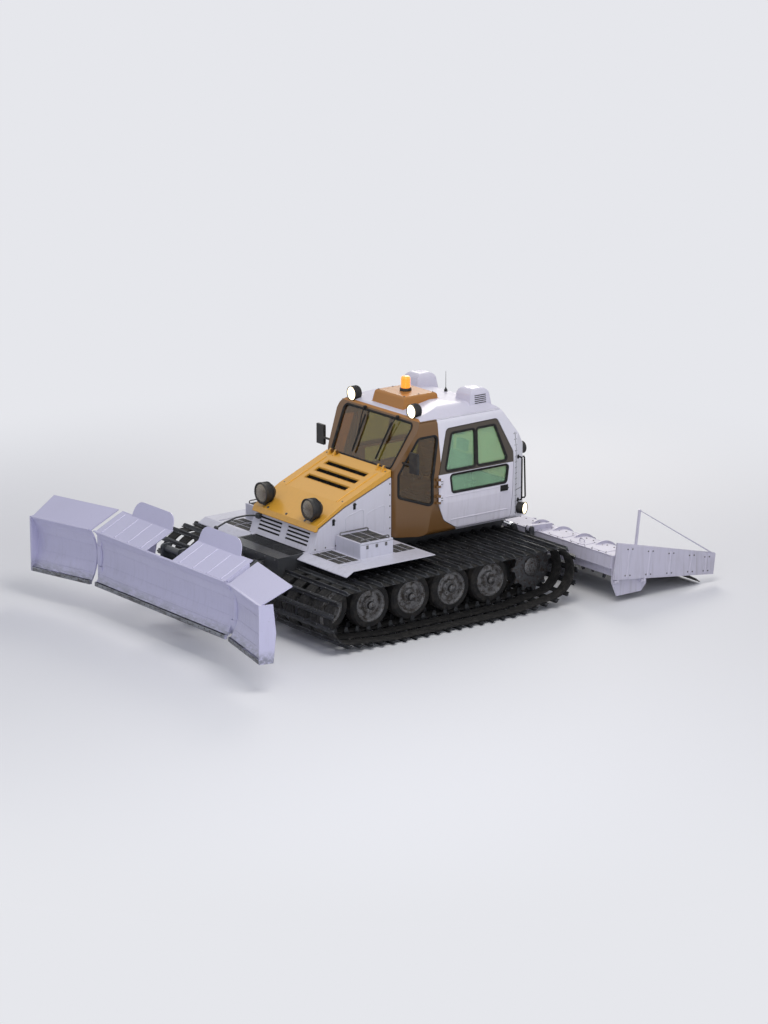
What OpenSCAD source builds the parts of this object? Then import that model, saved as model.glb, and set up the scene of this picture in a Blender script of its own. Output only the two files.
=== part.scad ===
/* [Tracks] */
// Width of one track over the ends of its cross bars
track_w = 1450; // [1200:10:1600]
// Width between the two tracks
track_gap = 1340; // [1300:10:1500]
// Height of a cross bar above the belts
bar_h = 55; // [35:1:70]
// Distance from one cross bar to the next along the belts
bar_pitch = 190; // [150:5:240]
// Thickness of the rubber belts
belt_t = 24; // [16:1:30]
// Width of one rubber belt
belt_w = 190; // [140:5:220]
// Distance from one belt to the next across the track
belt_step = 290; // [240:5:300]
// Radius of a road wheel with its tyre
wheel_r = 330; // [300:1:336]
// Width of a road wheel's tyre
wheel_w = 180; // [140:5:220]
// Distance from one road wheel to the next
wheel_pitch = 700; // [680:5:720]
// Distance of the front road wheel ahead of the machine's middle
wheel_front_x = 970; // [950:5:990]
// Radius of the front idler wheel and of the sprocket's drum
end_r = 345; // [320:1:350]
// Height of the front idler's axle
idler_z = 490; // [470:5:540]
// Distance of the idler ahead of the machine's middle
idler_x = 1700; // [1690:5:1800]
// Height of the sprocket's axle
sprocket_z = 510; // [490:5:560]
// Distance of the sprocket behind the machine's middle
sprocket_back = 1815; // [1810:5:1860]
// Number of teeth on one sprocket ring
sprocket_teeth = 11; // [9:1:14]

/* [Chassis] */
// Width of the tub between the tracks
tub_w = 1260; // [1200:10:1290]
// Height of the tub's floor above the ground
tub_z = 340; // [300:5:380]
// Length of the tub ahead of the machine's middle
tub_front = 1900; // [1850:10:1950]
// Length of the tub behind the machine's middle
tub_back = 2010; // [1980:10:2060]
// Radius of the axles that carry the wheels
axle_r = 42; // [35:1:50]
// Height of the fenders above the ground
fender_z = 1050; // [1045:1:1070]

/* [Cab] */
// Half of the cab's width at the doors
cab_half = 1040; // [980:5:1080]
// Distance of the windscreen's foot ahead of the machine's middle
cab_front = 60; // [0:5:100]
// Distance of the cab's rear wall behind the machine's middle
cab_back = 2210; // [2150:5:2260]
// Height of the cab's underside
cab_z = 1062; // [1055:1:1075]
// Height of the windscreen's foot
screen_z = 1990; // [1950:5:2020]
// Height of the roof's middle
roof_z = 2840; // [2780:5:2900]
// Thickness of the cab's walls and doors
wall_t = 45; // [35:1:60]
// Thickness of the glass
glass_t = 8; // [6:1:10]
// Gap round a door
door_gap = 10; // [8:1:14]

/* [Engine hood] */
// Width of the engine hood
hood_w = 1500; // [1400:10:1560]
// Thickness of the hood's shell
hood_t = 40; // [30:1:50]
// Distance of the hood's nose ahead of the machine's middle
hood_nose = 1440; // [1400:5:1500]

/* [Front blade] */
// Width of the blade's middle section
blade_w = 3200; // [3000:10:3400]
// Length of one blade wing
wing_len = 1130; // [900:10:1250]
// Angle by which the wings stand forward at rest
wing_rest = 14; // [8:1:18]
// Height of the cutting edge above the ground at rest
blade_z = 430; // [380:5:480]
// Height of the curved mouldboard
board_h = 780; // [720:5:860]
// Thickness of the mouldboard
board_t = 26; // [20:1:36]
// Depth of the mouldboard's hollow face
board_dish = 150; // [100:5:180]
// Distance of the cutting edge ahead of the machine's middle
blade_x = 3480; // [3440:5:3560]
// Slope of the upper guard
guard_tilt = 26; // [20:1:40]
// Length of the upper guard along its slope
guard_len = 520; // [420:5:560]
// Distance of the lift pivot ahead of the machine's middle
lift_x = 1985; // [1970:5:2010]
// Height of the lift pivot
lift_z = 520; // [500:5:560]
// Distance of the king pin ahead of the machine's middle
king_x = 2700; // [2680:5:2740]
// Radius of the king pin
king_r = 45; // [35:1:55]

/* [Rear tiller] */
// Width of the tiller's housing
tiller_w = 4700; // [4400:20:4800]
// Distance of the cutter shaft behind the machine's middle
cutter_back = 2960; // [2900:5:3000]
// Height of the cutter shaft
cutter_z = 420; // [400:5:460]
// Radius of the cutter's drum tube
drum_r = 95; // [80:1:120]
// Radius over the cutter's teeth
tooth_r = 205; // [180:1:230]
// Number of teeth along one half of the cutter
tooth_rows = 16; // [10:1:20]
// Length of the finisher mat
mat_len = 1150; // [1000:10:1250]
// Length of one raised side finisher
side_len = 1900; // [1700:10:2000]
// Height of one raised side finisher at its front
side_h = 560; // [480:5:600]

/* [Hidden] */
// Clearance between faces that seat, and running clearance of a pin in its bore
fit = 0.3;
run = 0.05;
sheet_t = 8;

// Places that follow from the sizes above
track_y = track_gap / 2 + track_w / 2;
tub_top = fender_z - sheet_t - fit;
wheel_z = bar_h + belt_t + wheel_r;
wheel_rear_x = wheel_front_x - 3 * wheel_pitch;
sprocket_x = -sprocket_back;
wheel_xs = [for (i = [0:3]) wheel_front_x - i * wheel_pitch];
// The wheels that shape the track, each as x, z, radius, from the sprocket forward below
loop_wheels = [
  [sprocket_x, sprocket_z, end_r],
  [wheel_rear_x, wheel_z, wheel_r],
  [wheel_front_x, wheel_z, wheel_r],
  [idler_x, idler_z, end_r]];

// Unit vector at an angle
function unit(a) = [cos(a), sin(a)];
// Direction of the outward normal of the belt from wheel a to wheel b
function belt_normal(a, b) = atan2(b[1] - a[1], b[0] - a[0])
  - acos((a[2] - b[2]) / norm([b[0] - a[0], b[1] - a[1]]));
loop_n = len(loop_wheels);
normals = [for (i = [0:loop_n - 1]) belt_normal(loop_wheels[i], loop_wheels[(i + 1) % loop_n])];
function before(i) = (i + loop_n - 1) % loop_n;
function centre(i) = [loop_wheels[i][0], loop_wheels[i][1]];
function sweep(i) = (normals[i] - normals[before(i)] + 720) % 360;
// Length of piece k of the path: even pieces are arcs and odd ones are straight
function piece_len(k, off) = k % 2 == 0
  ? sweep(k / 2) * PI / 180 * (loop_wheels[k / 2][2] + off)
  : norm(leave((k - 1) / 2, off) - arrive(((k - 1) / 2 + 1) % loop_n, off));
function leave(i, off) = centre(i) + (loop_wheels[i][2] + off) * unit(normals[i]);
function arrive(i, off) = centre(i) + (loop_wheels[i][2] + off) * unit(normals[before(i)]);
function path_len(off, k = 0) = k == 2 * loop_n ? 0 : piece_len(k, off) + path_len(off, k + 1);
// Point and outward angle at distance s along the path
function path_at(s, off, k = 0) = s <= piece_len(k, off) || k == 2 * loop_n - 1
  ? (k % 2 == 0 ? arc_at(k / 2, s, off) : line_at((k - 1) / 2, s, off))
  : path_at(s - piece_len(k, off), off, k + 1);
function arc_angle(i, s, off) = normals[before(i)] + s / (loop_wheels[i][2] + off) * 180 / PI;
// On an arc a bar rests on the nearest corner of the belt's outline
function corner_off(i, t) = abs(t - round(t)) * sweep(i) / arc_steps(i);
function arc_at(i, s, off) = let (a = arc_angle(i, s, off), t = (a - normals[before(i)]) / sweep(i) * arc_steps(i))
  concat(centre(i) + (loop_wheels[i][2] + off) * cos(corner_off(i, t)) * unit(a), [a]);
function line_at(i, s, off) = concat(leave(i, off) + s * unit(normals[i] + 90), [normals[i]]);

// Inward unit normal of the edge from p to q of a polygon that runs counter-clockwise
function edge_in(p, q) = [p[1] - q[1], q[0] - p[0]] / norm(q - p);
// Convex outline moved inward by d
function inset(pts, d) = [for (i = [0:len(pts) - 1])
  let (n = len(pts), a = edge_in(pts[(i + n - 1) % n], pts[i]), b = edge_in(pts[i], pts[(i + 1) % n]))
  pts[i] + (a + b) * d / (1 + a * b)];
// Outline with each corner rounded, where the third value of a point is its radius
function rounded(pts, radii, n = 5) = [for (i = [0:len(pts) - 1])
  let (m = len(pts), p = pts[i], a = pts[(i + m - 1) % m] - p, b = pts[(i + 1) % m] - p,
    u = a / norm(a), v = b / norm(b), half = acos(u * v) / 2, r = radii[i],
    c = p + (u + v) / norm(u + v) * r / sin(half), reach = r / tan(half),
    from = p + u * reach - c, to = p + v * reach - c, a0 = atan2(from[1], from[0]),
    turn = (atan2(to[1], to[0]) - a0 + 540) % 360 - 180)
  each r <= 0 ? [p] : [for (k = [0:n]) c + r * unit(a0 + turn * k / n)]];
function each_minus(list, d) = [for (v = list) max(v - d, 0)];

// Draws a side profile (x, z) and gives it a width from y0 to y0 + w
module across(y0, w) {
  translate([0, y0 + w, 0])
  rotate([90, 0, 0])
  linear_extrude(w)
  children();
}
// Draws a front profile (y, z) and gives it a length from x0 to x0 + l
module along(x0, l) {
  translate([x0, 0, 0])
  rotate([90, 0, 90])
  linear_extrude(l)
  children();
}
module left_right() {
  children();
  mirror([0, 1, 0]) children();
}
// Bar from one side to the other with its axis along Y
module cross_rod(x, z, r, y0, w) {
  translate([x, y0 + w, z])
  rotate([90, 0, 0])
  cylinder(r = r, h = w, $fn = 48);
}
// Outlines of a belt in short steps: its inside clears the wheels and its outside stays under the bars
arc_step = 9;
function arc_steps(i) = ceil(sweep(i) / arc_step);
function wheel_point(i, r, k) = centre(i) + r * unit(normals[before(i)] + sweep(i) * k / arc_steps(i));
belt_outside = [for (i = [0:loop_n - 1]) for (k = [0:arc_steps(i)])
  wheel_point(i, loop_wheels[i][2] + belt_t, k)];
belt_inside = [for (i = [0:loop_n - 1]) for (k = [0.5:arc_steps(i)])
  wheel_point(i, loop_wheels[i][2] / cos(sweep(i) / arc_steps(i) / 2), k)];

// Tracks
bar_count = floor(path_len(belt_t) / bar_pitch);
bar_base = 38;
bar_top = 10;
module track() {
  for (k = [-2:2])
    across(track_y + k * belt_step - belt_w / 2, belt_w)
    difference() {
      polygon(belt_outside);
      polygon(belt_inside);
    }
  across(track_y - track_w / 2, track_w)
  for (i = [0:bar_count - 1])
    let (at = path_at(i * path_len(belt_t) / bar_count, belt_t))
    translate([at[0], at[1]])
    rotate(at[2] - 90)
    polygon([[-bar_base, fit], [bar_base, fit], [bar_base - 8, 14], [bar_top, bar_h],
      [-bar_top, bar_h], [8 - bar_base, 14]]);
}
module track_left() {
  color("#1b1b1d") track();
}
module track_right() {
  color("#1b1b1d") mirror([0, 1, 0]) track();
}

// Road wheels and idlers
module wheel(r) {
  rotate([90, 0, 0])
  rotate_extrude($fn = 64)
  polygon([[axle_r + run, -70], [110, -70], [120, -30], [190, -18], [210, -wheel_w / 2 + 15],
    [230, -wheel_w / 2], [r - 25, -wheel_w / 2], [r, -wheel_w / 2 + 30], [r, wheel_w / 2 - 30],
    [r - 25, wheel_w / 2], [230, wheel_w / 2], [210, wheel_w / 2 - 15], [190, 18], [120, 30],
    [110, 70], [axle_r + run, 70]]);
}
module wheels() {
  for (x = wheel_xs) translate([x, track_y, wheel_z]) wheel(wheel_r - fit);
  translate([idler_x, track_y, idler_z]) wheel(end_r - fit);
}
module wheels_left() {
  color("#26262a") wheels();
}
module wheels_right() {
  color("#26262a") mirror([0, 1, 0]) wheels();
}
module sprocket() {
  translate([sprocket_x, 0, sprocket_z])
  rotate([90, 0, 0])
  union() {
    for (y = [-1, 1])
      translate([0, 0, y * 150 - 15 - track_y])
      linear_extrude(30)
      union() {
        circle(r = end_r - 40, $fn = 64);
        for (i = [0:sprocket_teeth - 1])
          rotate(i * 360 / sprocket_teeth)
          polygon([[end_r - 60, -50], [end_r + belt_t - 6, -20], [end_r + belt_t - 6, 20], [end_r - 60, 50]]);
      }
    translate([0, 0, -track_y - 165]) cylinder(r = 150, h = 330, $fn = 64);
    translate([0, 0, -track_y - 1]) cylinder(r = 120, h = track_y - tub_w / 2 + 1, $fn = 64);
  }
}
module sprockets() {
  color("#3a3c40") left_right() sprocket();
}
// Swing arms and stub axles
module axle(x, z) {
  cross_rod(x, z, axle_r, tub_w / 2, track_y + 105 - tub_w / 2);
  cross_rod(x + 260, z + 90, 60, tub_w / 2, 60);
  across(tub_w / 2 + 8, 44)
  polygon([[x - 60, z - 60], [x + 60, z - 60], [x + 310, z + 50], [x + 310, z + 130],
    [x + 200, z + 150], [x - 60, z + 60]]);
}
module axles() {
  color("#2d2f33")
  left_right() {
    for (x = wheel_xs) axle(x, wheel_z);
    cross_rod(idler_x, idler_z, axle_r, tub_w / 2, track_y + 105 - tub_w / 2);
    cross_rod(idler_x, idler_z, 90, tub_w / 2, 60);
  }
}

// Tub between the tracks, open above the engine
bay_x = cab_front + 50;
module tub() {
  color("#33353a")
  difference() {
    across(-tub_w / 2, tub_w)
    polygon([[-tub_back, tub_top], [-tub_back, tub_z + 280], [-tub_back + 320, tub_z],
      [tub_front - 450, tub_z], [tub_front, tub_z + 330], [tub_front, tub_top]]);
    across(30 - tub_w / 2, tub_w - 60)
    polygon([[bay_x, tub_top + 1], [bay_x, tub_z + 130], [tub_front - 480, tub_z + 130],
      [tub_front - 200, tub_z + 340], [tub_front - 200, tub_top + 1]]);
  }
  color("#33353a")
  for (x = [-cab_back + 260, cab_front - 200], y = [-1, 1])
    translate([x, y * (tub_w / 2 - 120), tub_top - 1]) cylinder(r = 60, h = cab_z - tub_top + 1 - fit, $fn = 48);
}
// The engine stands between the bay's rear wall and the cooler behind the hood's nose
engine_back = bay_x + 80;
cooler_x = hood_nose - 290;
cooler_t = 110;
fan_gap = 60;
engine_len = cooler_x - fan_gap - engine_back;
module engine() {
  color("#4a4d52")
  union() {
    translate([engine_back, -270, tub_z + 130]) cube([engine_len, 540, 620]);
    translate([engine_back + 60, -160, tub_z + 749]) cube([engine_len - 120, 320, 200]);
    translate([cooler_x, -430, tub_z + 220]) cube([cooler_t, 860, 640]);
    translate([cooler_x - fan_gap - 1, -60, tub_z + 300]) cube([fan_gap + 2, 120, 120]);
  }
}
// Fenders and steps over the tracks, with a lip that slopes down at the front
lip_x = tub_front - 420;
lip_len = 120;
fender_w = track_y - tub_w / 2 + 380;
module fenders() {
  color("#d9dbe2")
  left_right() {
    translate([cab_front + 20, tub_w / 2 - 30, fender_z - sheet_t])
    cube([lip_x - cab_front - 20, fender_w + 30, sheet_t]);
    across(tub_w / 2 + door_gap, fender_w - door_gap)
    polygon([[lip_x - 10, fender_z - sheet_t], [lip_x, fender_z - sheet_t], [lip_x + lip_len, fender_z - 70],
      [lip_x + lip_len, fender_z - 70 + sheet_t], [lip_x, fender_z], [lip_x - 10, fender_z]]);
    translate([500, hood_w / 2 + 60, fender_z - 1]) cube([560, 560, 220]);
  }
}
// Front cross beam with the push frame's lugs
arm_y = 430;
lug_t = 30;
arm_w = 70;
pin_r = 30;
// Plate from y to y + t with a round end at x, z, that runs back to the plane at x = root
module lug(x, z, root, r, y, t) {
  across(y, t)
  union() {
    translate([x, z]) circle(r = r, $fn = 48);
    translate([min(x, root), z - r]) square([abs(x - root), 2 * r]);
  }
}
cyl_x = 1990;
cyl_z = 900;
cyl_y = 240;
module front_beam() {
  color("#2d2f33")
  union() {
    translate([tub_front, -tub_w / 2, lift_z - 80]) cube([20, tub_w, tub_top - lift_z + 80]);
    left_right() {
      for (s = [-1, 1])
        lug(lift_x, lift_z, tub_front + 1, 55, arm_y + s * (arm_w / 2 + lug_t / 2 + 5) - lug_t / 2, lug_t);
      for (s = [-1, 1]) lug(cyl_x, cyl_z, tub_front + 1, 45, cyl_y + s * 55 - 12, 24);
      cross_rod(lift_x, lift_z, pin_r, arm_y - arm_w / 2 - lug_t - 10, arm_w + 2 * lug_t + 20);
      cross_rod(cyl_x, cyl_z, pin_r, cyl_y - 75, 150);
    }
  }
}
// Rear cross beam with the tiller frame's lugs and the tow hitch
rear_x = -tub_back - 75;
rear_z = 560;
tiller_cyl_z = 920;
module rear_beam() {
  color("#2d2f33")
  difference() {
    union() {
      translate([-tub_back - 20, -tub_w / 2 + 20, rear_z - 90]) cube([20, tub_w - 40, tub_top - rear_z + 90]);
      left_right() {
        for (s = [-1, 1]) lug(rear_x, rear_z, -tub_back - 1, 50, arm_y + s * 55 - 15, 30);
        for (s = [-1, 1]) lug(rear_x, tiller_cyl_z, -tub_back - 1, 45, cyl_y + s * 55 - 12, 24);
        cross_rod(rear_x, rear_z, pin_r, arm_y - 75, 150);
        cross_rod(rear_x, tiller_cyl_z, pin_r, cyl_y - 75, 150);
      }
      translate([-tub_back - 130, -70, 760]) cube([120, 140, 40]);
    }
    translate([-tub_back - 85, 0, 740]) cylinder(r = 20, h = 80, $fn = 48);
  }
}

// Cab outlines, each running counter-clockwise
cab_side = [[-cab_back, cab_z], [cab_front, cab_z], [cab_front, screen_z], [-330, roof_z - 110],
  [-900, roof_z], [-1560, roof_z - 40], [-cab_back + 480, roof_z - 130], [-cab_back + 20, 2080]];
cab_side_r = [60, 40, 30, 110, 300, 300, 120, 200];
cab_front_view = [[-cab_half + 30, cab_z], [cab_half - 30, cab_z], [cab_half, 1500], [cab_half - 10, 1950],
  [cab_half - 110, 2660], [cab_half - 330, roof_z - 20], [0, roof_z + 25],
  [330 - cab_half, roof_z - 20], [110 - cab_half, 2660], [10 - cab_half, 1950], [-cab_half, 1500]];
cab_front_r = [80, 80, 0, 300, 90, 260, 600, 260, 90, 300, 0];
cab_plan = [[cab_front, -780], [cab_front, 780], [-430, cab_half], [-1900, cab_half],
  [-cab_back, cab_half - 150], [-cab_back, 150 - cab_half], [-1900, -cab_half], [-430, -cab_half]];
cab_plan_r = [120, 120, 200, 200, 150, 150, 200, 200];
module cab_solid(d) {
  intersection() {
    across(-cab_half - 10, 2 * cab_half + 20) polygon(rounded(inset(cab_side, d), each_minus(cab_side_r, d)));
    along(-cab_back - 10, cab_back + cab_front + 20)
    polygon(rounded(inset(cab_front_view, d), each_minus(cab_front_r, d)));
    translate([0, 0, cab_z - 10])
    linear_extrude(roof_z)
    polygon(rounded(inset(cab_plan, d), each_minus(cab_plan_r, d)));
  }
}
door_front = -560;
// Door outline, running counter-clockwise in side view
door_edge = [[-1860, cab_z + 45], [-900, cab_z + 45], [-660, cab_z + 190], [door_front, cab_z + 420],
  [door_front, 1900], [-760, 2540], [-1660, 2560], [-1900, 2060]];
door_edge_r = [60, 180, 120, 120, 100, 60, 60, 60];
// Windows of a door: rear and front pane of the upper window, and the low window
door_windows = [
  [[-1790, 1960], [-1250, 1960], [-1290, 2475], [-1610, 2480]],
  [[-1210, 1960], [-680, 1960], [-840, 2470], [-1250, 2475]],
  [[-1760, 1640], [-800, 1640], [-770, 1890], [-1800, 1890]]];
corner_window = [[-440, 1500], [-15, 1640], [-15, 1955], [-265, 2470], [-590, 2470], [-445, 1890]];
corner_window_r = [50, 40, 80, 50, 50, 120];
screen_frame = [[-690, screen_z + 45], [690, screen_z + 45], [800, 2650], [-800, 2650]];
module door_area(d) {
  across(600, cab_half) polygon(rounded(inset(door_edge, d), each_minus(door_edge_r, d)));
}
module window_areas(d) {
  for (w = door_windows) across(600, cab_half) polygon(rounded(inset(w, d), [40, 40, 40, 40]));
}
module corner_area(d) {
  across(600, cab_half) polygon(rounded(inset(corner_window, d), each_minus(corner_window_r, d)));
}
roof_split = 2690;
rear_window = [[-760, 1500], [760, 1500], [680, 2440], [-680, 2440]];
module screen_area(d) {
  along(-380, 500) polygon(rounded(inset(screen_frame, d), [60, 60, 60, 60]));
}
module rear_area(d) {
  along(-cab_back - 50, 480) polygon(rounded(inset(rear_window, d), [60, 60, 60, 60]));
}
module above_split() {
  translate([-cab_back - 100, -cab_half - 100, roof_split]) cube([cab_back + 400, 2 * cab_half + 200, 600]);
}
// The part of a layer of the cab's wall, from depth a to depth b, that lies in its child
module wall_layer(a, b) {
  difference() {
    intersection() {
      cab_solid(a);
      children();
    }
    cab_solid(b);
  }
}
module cab_shell() {
  color("#e9e9ef")
  union() {
    difference() {
      cab_solid(0);
      cab_solid(wall_t);
      above_split();
      left_right() door_area(-door_gap);
      left_right() corner_area(0);
      screen_area(0);
      rear_area(0);
    }
    left_right() cab_hinges();
    left_right() hood_hinge_lugs();
  }
}
// Raised pieces on the roof: the plinth under the beacon and an air vent at each rear corner
plinth_top = roof_z + 80;
vent_top = roof_z + 145;
vent_y = [430, 790];
module roof_block(side, side_r, front, front_r) {
  intersection() {
    across(-cab_half, 2 * cab_half) polygon(rounded(side, side_r));
    along(-cab_back, cab_back) polygon(rounded(front, front_r));
  }
}
module roof_pieces() {
  roof_block([[-1080, roof_split + 10], [-430, roof_split + 10], [-480, plinth_top], [-1050, plinth_top]],
    [0, 0, 50, 50], [[-370, roof_split + 10], [370, roof_split + 10], [340, plinth_top], [-340, plinth_top]],
    [0, 0, 40, 40]);
  left_right()
  roof_block([[-1690, roof_split + 10], [-1290, roof_split + 10], [-1330, vent_top], [-1640, vent_top]],
    [0, 0, 110, 110], [[vent_y[0], roof_split + 10], [vent_y[1], roof_split + 10], [vent_y[1] - 30, vent_top],
    [vent_y[0] + 30, vent_top]], [0, 0, 90, 90]);
}
module cab_roof() {
  color("#f2f2f5")
  union() {
    wall_layer(0, wall_t) above_split();
    difference() {
      roof_pieces();
      cab_solid(wall_t / 2);
    }
  }
}
glass_in = wall_t / 2 - glass_t / 2;
module cab_glass() {
  color("#9fc7a8")
  wall_layer(glass_in, glass_in + glass_t)
  union() {
    screen_area(fit);
    rear_area(fit);
    left_right() corner_area(fit);
  }
}
module door() {
  difference() {
    wall_layer(0, wall_t) door_area(0);
    window_areas(0);
  }
}
// Door hinges: a pin outside the front edge, with its knuckles on the door and on the cab
hinge_x = door_front + 8;
hinge_y = cab_half + 22;
hinge_r = 18;
hinge_pin = 9;
hinge_h = 60;
hinge_zs = [1578, 1815];
module hinge_arm(z, h, side) {
  translate([hinge_x, hinge_y, z]) cylinder(r = hinge_r, h = h, $fn = 32);
  translate([hinge_x + (side < 0 ? -60 : 0), cab_half - 32, z]) cube([60, 54 + 9, h]);
}
module hinge_bore() {
  for (z = hinge_zs)
    translate([hinge_x, hinge_y, z - 100]) cylinder(r = hinge_pin + run, h = 200, $fn = 32);
}
module cab_hinges() {
  for (z = hinge_zs) {
    hinge_arm(z - hinge_h / 2 - 35, 33, 1);
    hinge_arm(z + hinge_h / 2 + 2, 33, 1);
    translate([hinge_x, hinge_y, z - hinge_h / 2 - 34]) cylinder(r = hinge_pin, h = hinge_h + 68, $fn = 32);
  }
}
module door_body() {
  difference() {
    union() {
      door();
      for (z = hinge_zs) hinge_arm(z - hinge_h / 2, hinge_h, -1);
    }
    hinge_bore();
    cab_solid(wall_t);
  }
}
module door_left() {
  color("#e4e2ee") door_body();
}
module door_right() {
  color("#e4e2ee") mirror([0, 1, 0]) door_body();
}
module door_glass() {
  wall_layer(glass_in, glass_in + glass_t) window_areas(fit);
}
module door_glass_left() {
  color("#a8d4ae") door_glass();
}
module door_glass_right() {
  color("#a8d4ae") mirror([0, 1, 0]) door_glass();
}
floor_top = cab_z + wall_t;
// Seats: each is a pedestal, a cushion and a raked back with a headrest
seat_x = -1540;
seat_w = 520;
cushion_z = floor_top + 230;
cushion_len = 540;
cushion_t = 130;
back_top = cushion_z + 640;
headrest_top = back_top + 190;
module seat(y) {
  across(y - seat_w / 2 + 40, seat_w - 80)
  polygon([[seat_x + 40, floor_top], [seat_x + 460, floor_top], [seat_x + 400, cushion_z + 1], [seat_x + 60, cushion_z + 1]]);
  across(y - seat_w / 2, seat_w)
  polygon(rounded([[seat_x, cushion_z], [seat_x + cushion_len, cushion_z], [seat_x + cushion_len, cushion_z + cushion_t],
    [seat_x, cushion_z + cushion_t]], [20, 50, 60, 20]));
  across(y - seat_w / 2 + 10, seat_w - 20)
  polygon(rounded([[seat_x + 10, cushion_z + cushion_t - 1], [seat_x + 130, cushion_z + cushion_t - 1],
    [seat_x + 60, back_top], [seat_x - 50, back_top]], [0, 0, 50, 50]));
  across(y - 130, 260)
  polygon(rounded([[seat_x - 35, back_top - 5], [seat_x + 35, back_top - 5], [seat_x + 25, headrest_top],
    [seat_x - 60, headrest_top]], [0, 0, 35, 35]));
}
seat_ys = [-430, 300];
module seats() {
  color("#2a2b30") for (y = seat_ys) seat(y);
}
module dash() {
  color("#2f3034")
  union() {
    across(-640, 1280)
    polygon([[cab_front - wall_t - fit, 1250], [cab_front - wall_t - fit, 1900], [-150, 1930], [-380, 1800],
      [-330, 1700], [-120, 1660], [-100, 1250]]);
    translate([-1250, 620, floor_top]) cube([420, 120, 620]);
  }
}

// Fixed sides of the engine bay and its nose with two banks of air slots
nose_bank = 330;
nose_slot_w = 520;
nose_slot_h = 26;
nose_slot_zs = [for (i = [0:3]) fender_z + 70 + i * 52];
module hood_sides() {
  color("#dcdce4")
  union() {
    for (s = [-1, 1])
      across(s * (hood_w / 2 - 15) - 15, 30)
      polygon([[cab_front + 3, fender_z + fit], [hood_nose - 10, fender_z + fit], [hood_nose - 60, 1180],
        [hood_nose - 112, 1340], [hood_nose - 130, 1375], [hood_bend_x - 30, hood_bend_z - 70],
        [cab_front + 3, 1925]]);
    difference() {
      across(1 - hood_w / 2, hood_w - 2)
      polygon([[hood_nose - 50, fender_z + fit], [hood_nose - 10, fender_z + fit], [hood_nose - 60, 1180],
        [hood_nose - 112, 1340], [hood_nose - 152, 1340], [hood_nose - 100, 1180]]);
      for (z = nose_slot_zs, s = [-1, 1])
        translate([hood_nose - 160, s * nose_bank - nose_slot_w / 2, z]) cube([170, nose_slot_w, nose_slot_h]);
    }
  }
}
hood_pin_x = cab_front + 34;
hood_pin_z = 2062;
hood_pin_r = 10;
hood_ys = [500, 620];
module hood_hinge_lugs() {
  for (y = hood_ys) {
    across(y - 25, 15)
    difference() {
      union() {
        translate([hood_pin_x, hood_pin_z]) circle(r = 20, $fn = 32);
        polygon([[cab_front - 20, 1985], [cab_front + 10, 1985], [hood_pin_x + 18, hood_pin_z - 8],
          [hood_pin_x - 12, hood_pin_z + 16], [cab_front - 30, 2020]]);
      }
    }
    cross_rod(hood_pin_x, hood_pin_z, hood_pin_r, y - 25, 50);
  }
}
hood_slot = 78;
hood_bend_x = hood_nose - 540;
hood_bend_z = 1680;
hood_rear_z = 2034;
hood_tip_x = hood_nose - 90;
hood_tip_z = 1430;
module hood() {
  color("#e9e4d0")
  difference() {
    union() {
      across(-hood_w / 2, hood_w)
      polygon([[cab_front + 8, 1945], [cab_front + 8, hood_rear_z], [hood_bend_x, hood_bend_z],
        [hood_tip_x, hood_tip_z], [hood_nose - 60, 1350], [hood_nose - 100, 1350], [hood_nose - 120, 1400],
        [hood_bend_x - 20, hood_bend_z - 50]]);
      left_right()
      for (y = hood_ys)
        across(y - 5, 26)
        union() {
          translate([hood_pin_x, hood_pin_z]) circle(r = 20, $fn = 32);
          polygon([[hood_pin_x - 18, hood_pin_z - 8], [hood_pin_x - 18, 2000], [hood_pin_x + 60, 2000],
            [hood_pin_x + 16, hood_pin_z + 12]]);
        }
    }
    left_right() cross_rod(hood_pin_x, hood_pin_z, hood_pin_r + run, 400, 300);
    for (t = [0.2, 0.4, 0.6])
      translate([cab_front + 20 + t * (hood_bend_x - cab_front), -480, 1500]) cube([hood_slot, 960, 600]);
    left_right()
    for (y = hood_ys) translate([cab_front - 30, y - 32, 1930]) cube([hood_pin_x - cab_front + 60, 27, 180]);
  }
}
// Height of the hood's top ahead of its bend
function hood_top(x) = hood_bend_z - (x - hood_bend_x) * (hood_bend_z - hood_tip_z) / (hood_tip_x - hood_bend_x);
pod_x = hood_nose - 170;
pod_y = 560;
pod_r = 125;
pod_z = hood_top(pod_x) + pod_r + 35;
module headlamps() {
  color("#232326")
  left_right()
  union() {
    translate([pod_x - 50, pod_y, pod_z])
    rotate([0, 90, 0]) cylinder(r = pod_r, h = 130, $fn = 48);
    across(pod_y - 35, 70)
    polygon([[pod_x - 30, hood_top(pod_x - 30) + fit * 2], [pod_x + 40, hood_top(pod_x + 40) + fit * 2],
      [pod_x + 40, pod_z], [pod_x - 30, pod_z]]);
  }
}
lamp_r = 95;
module roof_lamps() {
  color("#fff6da")
  left_right()
  difference() {
    union() {
      translate([-440, 700, 2805]) rotate([0, 90, 0]) cylinder(r = lamp_r, h = 110, $fn = 48);
      translate([-420, 660, 2640]) cube([60, 80, 120]);
    }
    cab_solid(-fit);
  }
}
module beacon() {
  color("#ff9a1f")
  translate([-760, 0, plinth_top + fit])
  union() {
    cylinder(r = 85, h = 40, $fn = 48);
    translate([0, 0, 39]) cylinder(r = 68, h = 150, $fn = 48);
    translate([0, 0, 188]) cylinder(r = 48, h = 22, $fn = 48);
  }
}
side_lamp_turn = atan2(150, cab_back - 1900);
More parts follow.
